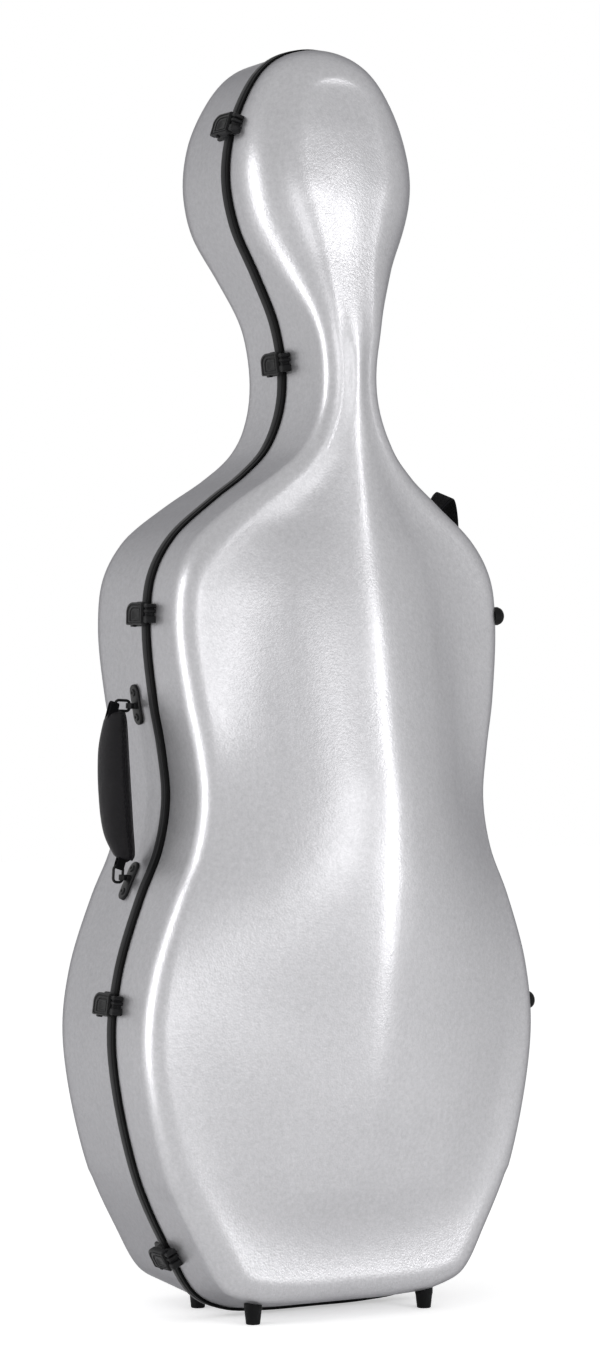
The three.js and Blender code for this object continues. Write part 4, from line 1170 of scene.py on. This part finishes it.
def make_bumpers():
    """Four bumpers on the right walls, each a half dome on a low collar."""
    r = sizes().bumper
    rise, step, root_share = 0.0072, 0.0014, 0.8
    collar, collar_rise, shoulder, shoulder_rise = 0.0008, 0.0006, 0.0003, 0.0012
    profile = [(POLE, -r * root_share), (r + collar, -r * root_share)]
    profile += [(r + collar, collar_rise), (r + shoulder, shoulder_rise)]
    for a in np.linspace(0, math.pi / 2, 9):
        profile.append((r * math.cos(a) + POLE, step + (rise - step) * math.sin(a)))
    for level, share in zip(("upper", "lower"), BUMPER_SHARES):
        for shell, y in (("lid", -BUMPER_REACH), ("back", BUMPER_REACH)):
            node = f"{shell}_bumper_{level}"
            shapes = capped([turned_grid(profile, 40)], wall_frame(share, 1, y))
            piece = make_mesh(f"{node}_dome", shapes, "rubber", MOULDED)
            finish_piece(piece, body_of(node), node)


# Carrying handle

# The rings, and the eyes of the brackets that they hang in, along the handle's line
RING_LENGTH, RING_WIDTH, EYE_LENGTH = 0.02, 0.014, 0.006


def make_bracket(name, place, eye_frame):
    """A bracket: an oval plate with two screws on the wall, and a stem with an eye off it."""
    s = sizes()
    thickness, crown, bevel = 0.003, 0.0005, 0.0012
    half, eye_radius, eye_bevel, play_share = EYE_LENGTH / 2, 0.0042, 0.0005, 0.72
    stem_corner, stem_bevel, stem_gap, screw_radius, screw_lift = 0.0008, 0.0003, 0.0004, 0.004, 0.0004
    bore = s.ring_wire * play_share + GAP
    outline = slot_outline(s.bracket_length, s.bracket_width)
    plate = plate_grid(outline, plate_section(-WALL, thickness, bevel, crown))
    eye = rod_grid(eye_radius, -half, half, eye_bevel, eye_radius - eye_bevel, bore, 32)
    stem_outline = box_outline(-half, half, -eye_radius, eye_radius, stem_corner)
    stem = plate_grid(stem_outline, plate_section(-s.eye_off - WALL, -bore - stem_gap, stem_bevel))
    spread = (s.bracket_length - s.bracket_width) / 2
    screws = [screw_grid(x, 0, thickness + screw_lift, screw_radius) for x in (-spread, spread)]
    shapes = capped([plate, *screws], place) + capped([stem], eye_frame) + [(placed(eye, eye_frame), RING)]
    finish_piece(make_mesh(f"{name}_plate", shapes, "metal", HARD), "case_back", name)


def ring_grid(start, length, outward, radius):
    """Round wire along a rounded box in the plane of the handle: the circle of the wire lies across
    the path at each of its places."""
    corner = 0.0042
    flat = box_outline(start, start + length, 0, outward, corner, 8)
    path = np.column_stack([flat[:, 0], np.zeros(len(flat)), flat[:, 1]])
    tangent = unit(np.roll(path, -1, 0) - np.roll(path, 1, 0))
    normal = np.array([0.0, 1.0, 0.0])
    side = np.cross(tangent, normal)
    section = round_section(radius, 14)
    return path[:, None] + section[None, :, :1] * side[:, None] + section[None, :, 1:] * normal


def make_handle():
    """The handle turns on the line through both eyes. Its lower ring lies along that line and its
    upper ring across it, and the grip runs from one to the other."""
    s = sizes()
    wire = s.ring_wire
    places = [wall_frame(share, -1, BRACKET_REACH) for share in BRACKET_SHARES]
    eyes = [placed(np.array([[0, 0, s.eye_off]]), place)[0] for place in places]
    out = np.cross(unit(eyes[0] - eyes[1]), [0, 1, 0])
    frames = [frame_at(eye, out) for eye in eyes]
    make_bracket("handle_bracket_upper", places[0], frames[0])
    make_bracket("handle_bracket_lower", places[1], frames[1])
    start = -EYE_LENGTH / 2 - 2 * GAP - wire / 2
    upper = ring_grid(-RING_WIDTH / 2 + wire / 2, RING_WIDTH - wire, RING_LENGTH - wire, wire / 2)
    lower = ring_grid(start, RING_LENGTH - wire, RING_WIDTH - wire, wire / 2)
    for name, grid, place in (("upper", upper, frames[0]), ("lower", lower, frames[1])):
        piece = make_mesh(f"handle_ring_{name}_wire", [(placed(grid, place), RING)], "metal", SKIN)
        finish_piece(piece, "carry_handle", f"handle_ring_{name}")
    span = float(np.linalg.norm(eyes[0] - eyes[1]))
    ring_end = start - wire / 2 + RING_LENGTH
    table = grip_table(ring_end, span)
    make_grip(table, frames[1])
    make_stitches(table, frames[1])
    make_loops(ring_end, span, frames[1])


def grip_table(ring_end, span):
    """Rows along the grip, closer together at its ends: the place on the handle's line, how far out
    its middle lies, half its depth and half its thickness."""
    s = sizes()
    cover = 0.0045
    start, end = ring_end + cover / 2, span - cover
    t = 0.5 - 0.5 * np.cos(np.linspace(0, math.pi, 72))
    inner, outer, thick = along([(row[0], row[1:]) for row in GRIP_SHARES], t).T
    return SimpleNamespace(
        t=t, x=start + (end - start) * t, middle=s.grip_depth * (inner + outer) / 2,
        reach=s.grip_depth * (outer - inner) / 2, half=s.grip_thickness * thick / 2,
    )


# The power that squares off the grip's oval section
GRIP_SQUARENESS = 0.8


def make_grip(g, place):
    """The padded grip. Its section is a squared oval, pinched by a seam near the inner edge, with
    soft wrinkles and a piping along that edge."""
    end_share, sides = 0.02, 48
    seam_share, seam_depth_share, seam_width_share = -0.62, 0.3, 0.08
    wrinkle_share, wrinkles_per_metre, wrinkle_place_share, wrinkle_spread = 0.025, 95, 0.2, 3
    piping_radius, piping_share, piping_ends = 0.0021, 0.98, slice(6, -6)
    close = np.clip(np.minimum(g.t, 1 - g.t) / end_share, 0, 1) ** 0.5
    angle = np.arange(sides) * 2 * math.pi / sides
    across, up = squared_circle(angle, GRIP_SQUARENESS)
    seam = 1 - seam_depth_share * np.exp(-(((across - seam_share) / seam_width_share) ** 2))
    fold = np.exp(-((across - wrinkle_place_share) ** 2) * wrinkle_spread)
    wrinkle = 1 + wrinkle_share * np.sin(wrinkles_per_metre * g.x)[:, None] * fold
    thick = (g.half * close)[:, None] * up * seam * wrinkle
    wide = g.middle[:, None] + (g.reach * close)[:, None] * across
    pad = np.stack(np.broadcast_arrays(g.x[:, None], thick, wide), axis=2)
    edge = np.column_stack([g.x, np.zeros_like(g.x), g.middle - g.reach * piping_share])[piping_ends]
    piping = swept_grid(round_section(piping_radius, 12), edge, (0, 1, 0))
    grip = make_mesh("grip_leather_pad", capped([pad, piping], place), "leather", SKIN)
    finish_piece(grip, "carry_handle", "handle_grip")


def make_stitches(g, place):
    """Stitches in two rows beside the grip's seam on both faces, each a small arched capsule. They
    lie a little inside the squared oval: its height at a place across is (1 - |across| to the power
    2 / squareness) to the power squareness / 2."""
    step, length, radius, ends, height_share = 0.0052, 0.0034, 0.00042, 8, 0.99
    row_shares = (-0.42, -0.68)
    lift = np.array([-0.0004, 0.0003, 0.0004, 0.0003, -0.0004])
    section = round_section(radius, 6)
    grids = []
    for face in (-1, 1):
        for across in row_shares:
            oval = (1 - abs(across) ** (2 / GRIP_SQUARENESS)) ** (GRIP_SQUARENESS / 2)
            depth = height_share * oval
            for first in np.arange(g.x[ends], g.x[-ends] - length, step):
                x = first + np.linspace(0, length, len(lift))
                middle, reach, half = (np.interp(x, g.x, v) for v in (g.middle, g.reach, g.half))
                path = np.column_stack([x, face * (half * depth + lift), middle + reach * across])
                grids.append(swept_grid(section, path, (0, 0, 1)))
    piece = make_mesh("grip_stitches", capped(grids, place), "thread", SKIN)
    finish_piece(piece, "carry_handle")


def make_loops(ring_end, span, place):
    """Webbing loops that hold the grip to its rings: each runs round a ring's bar and back."""
    wire, thickness, corner = sizes().ring_wire, 0.0018, 0.0008
    slack, first, last, lower_width, upper_width = 0.0013, 0.001, 0.016, 0.0095, 0.01
    lower_out, upper_out = 0.0045, 0.0185
    lower_bar, upper_bar = (ring_end - wire / 2, 0, lower_out), (span, 0, upper_out)
    lower_run, upper_run = (0.014, 0, -0.004), (-0.014, 0, 0.0035)
    turn = np.linspace(-math.pi / 2, math.pi / 2, 9)[:, None]
    side = np.array([0.0, 1.0, 0.0])
    r = wire / 2 + slack
    grids, maps = [], []
    for bar, run, width in ((lower_bar, lower_run, lower_width), (upper_bar, upper_run, upper_width)):
        along_run = unit(np.array(run))
        bend = bar - along_run * r * np.cos(turn) + side * r * np.sin(turn)
        tail = along_run * np.linspace(last, first, 5)[:, None]
        path = np.vstack([bar - side * r + tail, bend, bar + side * r + tail[::-1]])
        grid, uv = band_grid(path, width, thickness, corner, np.cross(along_run, side))
        grids.append(grid)
        maps.append(uv)
    piece = make_mesh("grip_webbing_loops", capped(grids, place), "webbing", WOVEN, np.vstack(maps))
    finish_piece(piece, "carry_handle")


# Grab strap


def make_grab_strap():
    """The strap rises straight off its upper anchor, turns over in a tight bend and runs back to
    the lower one with a little swell; its front edge leans down and inwards at the bend, as the
    height over the anchors to the power 1.5. Its ends lie under small anchor plates."""
    s = sizes()
    place = wall_frame(STRAP_SHARE, 1, STRAP_REACH)
    thickness, corner_share, lean_down, lean_in = 0.0026, 0.4, 0.0042, 0.0019
    foot, anchor_half, anchor_rise, anchor_corner, root = 0.0295, 0.008, 0.0025, 0.003, 0.01
    bevel, crown, screw_place, screw_radius, screw_rise = 0.0008, 0.0004, 0.009, 0.003, 0.001
    rows = np.array(STRAP_ROWS)
    ends = np.array([2 * rows[0] - rows[1], 2 * rows[-1] - rows[-2]])
    curve, _ = centripetal(np.vstack([ends[:1], rows, ends[1:]]), 8)
    path = np.column_stack([curve[:, 0], np.zeros(len(curve)), curve[:, 1]])
    grid, uv = band_grid(path, s.strap_width, thickness, thickness * corner_share, (0, 1, 0))
    lean = (np.interp(curve[:, 1], (anchor_rise, curve[:, 1].max()), (0, 1)) ** 1.5)[:, None] * grid[..., 1]
    grid[..., 0] -= lean * lean_down * 2 / s.strap_width
    grid[..., 2] += lean * lean_in * 2 / s.strap_width
    strap = make_mesh("grab_strap_webbing", capped([grid], place), "webbing", WOVEN, uv)
    finish_piece(strap, "case_back", "shoulder_strap")
    half_width = s.strap_width / 2
    for node, x in (("strap_anchor_upper", -foot), ("strap_anchor_lower", foot)):
        outline = box_outline(x - anchor_half, x + anchor_half, -half_width, half_width, anchor_corner)
        plate = plate_grid(outline, plate_section(-root, anchor_rise, bevel, crown))
        at = (-screw_place, screw_place)
        screws = [screw_grid(x, y, anchor_rise, screw_radius, screw_rise) for y in at]
        piece = make_mesh(f"{node}_plate", capped([plate, *screws], place), "metal", HARD)
        finish_piece(piece, "case_back", node)


# Inside


def soft_block(low, high, roundness, steps=40):
    """A stuffed block in a box: a ball whose cosines and sines are raised to a small power, which
    squares it off, and whose edges pull in by a share of their distance from the faces."""
    pull_share = 0.02
    low, high = np.array(low), np.array(high)
    v = np.linspace(-math.pi / 2, math.pi / 2, steps)
    u = np.arange(2 * steps) * math.pi / steps
    (cv, sv), (cu, su) = (squared_circle(angle, roundness) for angle in (v, u))
    ball = np.stack(np.broadcast_arrays(cv[:, None] * cu, cv[:, None] * su, sv[:, None]), axis=2)
    pull = 1 - pull_share * (1 - np.abs(ball).max(axis=2, keepdims=True))
    return (low + high) / 2 + ball * (high - low) / 2 * pull


def notched_block(low, high, notch, roundness, under, floor_front, floor_top):
    """Two stuffed cheeks with a notch between them, and a floor pad that reaches under both."""
    gap = 0.001
    x = (low.x + high.x) / 2
    return [
        soft_block(low, (x - notch - gap, high.y, high.z), roundness),
        soft_block((x + notch + gap, low.y, low.z), high, roundness),
        soft_block(
            (x - notch - under, floor_front, low.z), (x + notch + under, high.y, floor_top), roundness
        ),
    ]


def kept_inside(grid, form):
    """Draws the points of a stuffed piece in to the room inside its lining: sideways to the wall
    with its shoulder, and outwards to the lined face."""
    s = sizes()
    half = seam_half()
    inset = WALL + GAP + FOAM + GAP
    flat = grid - np.array([MIDDLE_X, SEAM_Y, 0])
    x, y, z = flat[..., 0], form.side * flat[..., 1], flat[..., 2]
    share = (z - SEAM_HEIGHT) / s.height
    depth, radius = along(form.depths, share), along(form.shoulders, share)
    y = np.minimum(y, depth - inset)
    over = np.clip(y - (depth - radius), 0, radius - inset)
    arc = radius - np.sqrt(np.maximum((radius - inset) ** 2 - over**2, 0))
    wide = np.interp(share, half[:, 4], half[:, 0]) - np.maximum(arc, inset) - DRAFT_SHARE * depth
    x = np.sign(x) * np.minimum(np.abs(x), wide)
    return to_scene(np.stack([x, form.side * y, z], axis=-1))


def make_inner_pads():
    """The cradle, in which the neck lies, the end-pin block and three pads, all stuffed."""
    neck_notch, neck_under, neck_roundness, neck_front = 0.023, 0.012, 0.28, 0.024
    pin_notch, pin_under, pin_roundness, pin_front, pin_top_share = 0.016, 0.01, 0.24, 0.004, 0.42
    pad_roundness = 0.32
    for node, form in (
        ("neck_cradle", BackForm), ("end_pin_block", BackForm), ("upper_back_pad", BackForm),
        ("lower_back_pad", BackForm), ("lid_pad", LidForm),
    ):
        low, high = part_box(node)
        if node == "neck_cradle":
            front = low.y + neck_front
            grids = notched_block(low, high, neck_notch, neck_roundness, neck_under, front, high.z)
        elif node == "end_pin_block":
            front, top = low.y + pin_front, low.z + (high.z - low.z) * pin_top_share
            grids = notched_block(low, high, pin_notch, pin_roundness, pin_under, front, top)
        else:
            grids = [soft_block(low, high, pad_roundness, 34)]
        shapes = [(kept_inside(grid, form), CAPPED) for grid in grids]
        piece = make_mesh(f"{node}_plush", shapes, "pad", SOFT)
        finish_piece(piece, body_of(node), node)


def make_neck_strap():
    """A flat strap stretched over the cradle's notch."""
    corner_share = 0.45
    low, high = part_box("neck_strap")
    x = np.linspace(low.x, high.x, 31)
    path = np.column_stack([x, np.full_like(x, (low.y + high.y) / 2), np.full_like(x, (low.z + high.z) / 2)])
    width, thickness = high.z - low.z, high.y - low.y
    grid, uv = band_grid(path, width, thickness, corner_share * thickness, (0, 0, 1))
    piece = make_mesh("neck_strap_webbing", [(grid, CAPPED)], "webbing", WOVEN, uv)
    finish_piece(piece, "case_back", "neck_strap")


def make_bow_holders():
    """Two moulded clips with a ridged face and a stud, and the toggle that turns on each stud."""
    corner, bevel, ridge, toggle_bevel, toggle_ridge = 0.004, 0.0015, 0.0003, 0.0012, 0.0006
    stud_radius, stud_top_radius, stud_root, stud_edge = 0.003, 0.0024, 0.001, 0.0005
    for side in ("left", "right"):
        low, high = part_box(f"bow_clip_{side}")
        toggle_low, toggle_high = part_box(f"bow_toggle_{side}")
        centre = ((low.x + high.x) / 2, 0, (low.z + high.z) / 2)
        place = np.column_stack([(1, 0, 0), (0, 0, -1), (0, 1, 0), centre])
        half_wide, half_tall, face = (high.x - low.x) / 2, (high.z - low.z) / 2, toggle_low.y - GAP
        outline = box_outline(-half_wide, half_wide, -half_tall, half_tall, corner)
        block = plate_grid(outline, plate_section(low.y, face, bevel, ridges=2, ridge=ridge))
        profile = [
            (POLE, face - stud_root), (stud_radius, face - stud_root), (stud_radius, high.y - stud_edge),
            (stud_top_radius, high.y), (POLE, high.y),
        ]
        shapes = capped([block, turned_grid(profile, 24)], place)
        piece = make_mesh(f"bow_clip_{side}_block", shapes, "latch", HARD)
        finish_piece(piece, "lid", f"bow_clip_{side}")
        outline = slot_outline(toggle_high.x - toggle_low.x, toggle_high.z - toggle_low.z)
        section = plate_section(toggle_low.y, toggle_high.y, toggle_bevel, ridges=1, ridge=toggle_ridge)
        shapes = capped([plate_grid(outline, section)], place)
        piece = make_mesh(f"bow_toggle_{side}_arm", shapes, "latch", HARD)
        finish_piece(piece, f"bow_toggle_{side}_body", f"bow_toggle_{side}")


# Stage

# The photograph's camera: degrees left of the front, metres from the case and over the floor, the
# picture's size, the focal length, and the pixels of its upright axis and of its horizon
CAMERA_AZIMUTH = -30
CAMERA_DISTANCE = 3.99
CAMERA_HEIGHT = 0.6675
PHOTO_WIDTH, PHOTO_HEIGHT = 600, 1353
FOCAL_PIXELS = 3750
AXIS_PIXEL, HORIZON_PIXEL = 311, 680
SENSOR = 36

# Levels of the world and of the floor's glow
WORLD_LIGHT, FLOOR_GLOW, FLOOR_HALF = 0.7, 0.45, 9.0

# Soft lights: degrees from the camera's side, height, distance, width, tallness, power in watts and
# the height that each is turned to. The two low ones carry the edges' light into the lower bout.
SOFTBOXES = {
    "left_softbox": (-66, 0.8, 2.8, 0.55, 2.6, 34, 0.7),
    "middle_softbox": (18, 0.6, 3.4, 1.2, 2.1, 17, 0.6),
    "right_softbox": (55, 0.9, 3.2, 0.5, 2.6, 29, 0.65),
    "front_fill": (0, 1.0, 4.4, 3.6, 2.4, 4, 0.6),
    "low_left_softbox": (-66, 0.26, 1.1, 0.2, 0.5, 1.1, 0.26),
    "low_right_softbox": (55, 0.26, 1.1, 0.18, 0.5, 1.2, 0.26),
}


def view_direction(degrees):
    """Unit direction from the case, level, turned from the camera's side to the camera's right."""
    a = math.radians(CAMERA_AZIMUTH + degrees)
    return np.array([math.sin(a), -math.cos(a), 0])


def add_camera():
    """A level camera whose lens is shifted, so that upright lines stay parallel."""
    data = bpy.data.cameras.new("photo_camera")
    camera = linked("photo_camera", data)
    base = np.array([MIDDLE_X, SEAM_Y, CAMERA_HEIGHT])
    camera.location = base + view_direction(0) * CAMERA_DISTANCE
    camera.rotation_euler = (math.pi / 2, 0, math.radians(CAMERA_AZIMUTH))
    data.sensor_width = SENSOR
    data.lens = FOCAL_PIXELS / PHOTO_HEIGHT * SENSOR
    data.shift_x = (PHOTO_WIDTH / 2 - AXIS_PIXEL) / PHOTO_HEIGHT
    data.shift_y = (HORIZON_PIXEL - PHOTO_HEIGHT / 2) / PHOTO_HEIGHT
    data.clip_end = 60
    bpy.context.scene.camera = camera


def add_softbox(name, degrees, height, distance, wide, tall, power, target_height):
    """A rectangular soft light at an angle from the camera's side, turned to the case."""
    data = bpy.data.lights.new(name, "AREA")
    data.shape = "RECTANGLE"
    data.size, data.size_y, data.energy = wide, tall, power
    light = linked(name, data)
    light.location = np.array([MIDDLE_X, SEAM_Y, height]) + view_direction(degrees) * distance
    aim = Vector((MIDDLE_X, SEAM_Y, target_height)) - light.location
    light.rotation_euler = aim.to_track_quat("-Z", "Y").to_euler()


def seen_rays(tree):
    """1 for rays from the camera, mirror rays and rays through glass, and 0 for the rest."""
    path = tree.nodes.new("ShaderNodeLightPath")
    total = path.outputs["Is Camera Ray"]
    for other in ("Is Glossy Ray", "Is Transmission Ray"):
        most = tree.nodes.new("ShaderNodeMath")
        most.operation = "MAXIMUM"
        tree.links.new(total, most.inputs[0])
        tree.links.new(path.outputs[other], most.inputs[1])
        total = most.outputs[0]
    return total


def add_world():
    """White where it is seen, and weaker where it lights."""
    world = bpy.data.worlds.new("studio")
    bpy.context.scene.world = world
    world.use_nodes = True
    tree = world.node_tree
    tree.nodes.clear()
    output = tree.nodes.new("ShaderNodeOutputWorld")
    mix = tree.nodes.new("ShaderNodeMixShader")
    tree.links.new(seen_rays(tree), mix.inputs["Fac"])
    for k, level in ((1, WORLD_LIGHT), (2, 1.0)):
        background = tree.nodes.new("ShaderNodeBackground")
        background.inputs["Color"].default_value = (1, 1, 1, 1)
        background.inputs["Strength"].default_value = level
        tree.links.new(background.outputs[0], mix.inputs[k])
    tree.links.new(mix.outputs[0], output.inputs["Surface"])


def add_floor():
    """A wide pale floor that keeps the case's shadow and otherwise renders near white."""
    t = np.linspace(-FLOOR_HALF, FLOOR_HALF, 3)
    x, y = np.meshgrid(t, t, indexing="ij")
    grid = np.stack([x, y, np.zeros_like(x)], axis=2)
    mesh = bpy.data.meshes.new("floor")
    mesh.from_pydata(grid.reshape(-1, 3), [], grid_faces(3, 3, False, False)[:, ::-1].tolist())
    floor = linked("floor", mesh)
    m = Shader("pale_floor", (0.82, 0.82, 0.82), 0.9)
    m.shade(m.noise(3, 2), 0.995, 1.005)
    m.set(Specular_IOR_Level=0.0, Emission_Color=(1, 1, 1, 1))
    m.link(m.math("MULTIPLY", seen_rays(m.tree), FLOOR_GLOW), m.bsdf, "Emission Strength")
    mesh.materials.append(m.material)


# Operators


class CelloStage(bpy.types.Operator):
    """Camera, world, floor and soft lights"""

    bl_idname = "cello.stage"
    bl_label = "Stage"

    def execute(self, context):
        context.scene.view_settings.view_transform = "Standard"
        add_camera()
        add_world()
        add_floor()
        for name, values in SOFTBOXES.items():
            add_softbox(name, *values)
        return {"FINISHED"}


class CelloMaterials(bpy.types.Operator):
    """Every finish of the case"""

    bl_idname = "cello.materials"
    bl_label = "Materials"

    def execute(self, context):
        make_materials()
        return {"FINISHED"}


class CelloShells(bpy.types.Operator):
    """The back shell and the lid"""

    bl_idname = "cello.shells"
    bl_label = "Shells"

    def execute(self, context):
        make_shell(BackForm, "back_shell", "case_back")
        make_shell(LidForm, "lid_shell", "lid")
        return {"FINISHED"}


class CelloLinings(bpy.types.Operator):
    """The plush linings of both shells"""

    bl_idname = "cello.linings"
    bl_label = "Linings"

    def execute(self, context):
        make_lining(BackForm, "back_lining", "case_back")
        make_lining(LidForm, "lid_lining", "lid")
        return {"FINISHED"}


class CelloRims(bpy.types.Operator):
    """The rims of the seam and the seal"""

    bl_idname = "cello.rims"
    bl_label = "Rims and seal"

    def execute(self, context):
        make_rims()
        return {"FINISHED"}


class CelloLatches(bpy.types.Operator):
    """Five latches with their keepers"""

    bl_idname = "cello.latches"
    bl_label = "Latches"

    def execute(self, context):
        make_latches()
        return {"FINISHED"}


class CelloHinges(bpy.types.Operator):
    """Two hinges with their pins"""

    bl_idname = "cello.hinges"
    bl_label = "Hinges"

    def execute(self, context):
        make_hinges()
        return {"FINISHED"}


class CelloFeet(bpy.types.Operator):
    """Four rubber feet"""

    bl_idname = "cello.feet"
    bl_label = "Feet"

    def execute(self, context):
        make_feet()
        return {"FINISHED"}


class CelloBumpers(bpy.types.Operator):
    """Four rubber bumpers"""

    bl_idname = "cello.bumpers"
    bl_label = "Bumpers"

    def execute(self, context):
        make_bumpers()
        return {"FINISHED"}


class CelloHandle(bpy.types.Operator):
    """The carrying handle, its rings and brackets"""

    bl_idname = "cello.handle"
    bl_label = "Handle"

    def execute(self, context):
        make_handle()
        return {"FINISHED"}


class CelloGrabStrap(bpy.types.Operator):
    """The webbing strap on the shoulder"""

    bl_idname = "cello.grab_strap"
    bl_label = "Grab strap"

    def execute(self, context):
        make_grab_strap()
        return {"FINISHED"}


class CelloInnerPads(bpy.types.Operator):
    """Cradle, end-pin block and pads"""

    bl_idname = "cello.inner_pads"
    bl_label = "Inner pads"

    def execute(self, context):
        make_inner_pads()
        return {"FINISHED"}


class CelloNeckStrap(bpy.types.Operator):
    """The strap over the cradle"""

    bl_idname = "cello.neck_strap"
    bl_label = "Neck strap"

    def execute(self, context):
        make_neck_strap()
        return {"FINISHED"}


class CelloBowHolders(bpy.types.Operator):
    """Bow clips and their toggles"""

    bl_idname = "cello.bow_holders"
    bl_label = "Bow holders"

    def execute(self, context):
        make_bow_holders()
        return {"FINISHED"}


OPERATORS = [
    CelloStage, CelloMaterials, CelloShells, CelloLinings, CelloRims, CelloLatches, CelloHinges, CelloFeet,
    CelloBumpers, CelloHandle, CelloGrabStrap, CelloInnerPads, CelloNeckStrap, CelloBowHolders,
]


class CELLO_PT_case(bpy.types.Panel):
    """Lists the operators and the sizes and colours that they use"""

    bl_label = "Cello Case"
    bl_idname = "CELLO_PT_case"
    bl_space_type = "VIEW_3D"
    bl_region_type = "UI"
    bl_category = "Cello Case"

    def draw(self, context):
        for made in OPERATORS:
            self.layout.operator(made.bl_idname)
        for group in (sizes(), colours()):
            for key in group.__annotations__:
                self.layout.prop(group, key)


CLASSES = [CaseSizes, CaseColours, *OPERATORS, CELLO_PT_case]


def register():
    for made in CLASSES:
        bpy.utils.register_class(made)
    bpy.types.Scene.cello_case_sizes = PointerProperty(type=CaseSizes)
    bpy.types.Scene.cello_case_colours = PointerProperty(type=CaseColours)


def unregister():
    del bpy.types.Scene.cello_case_colours
    del bpy.types.Scene.cello_case_sizes
    for made in reversed(CLASSES):
        bpy.utils.unregister_class(made)


def main():
    register()
    for made in OPERATORS:
        category, name = made.bl_idname.split(".")
        getattr(getattr(bpy.ops, category), name)()


if __name__ == "__main__":
    main()
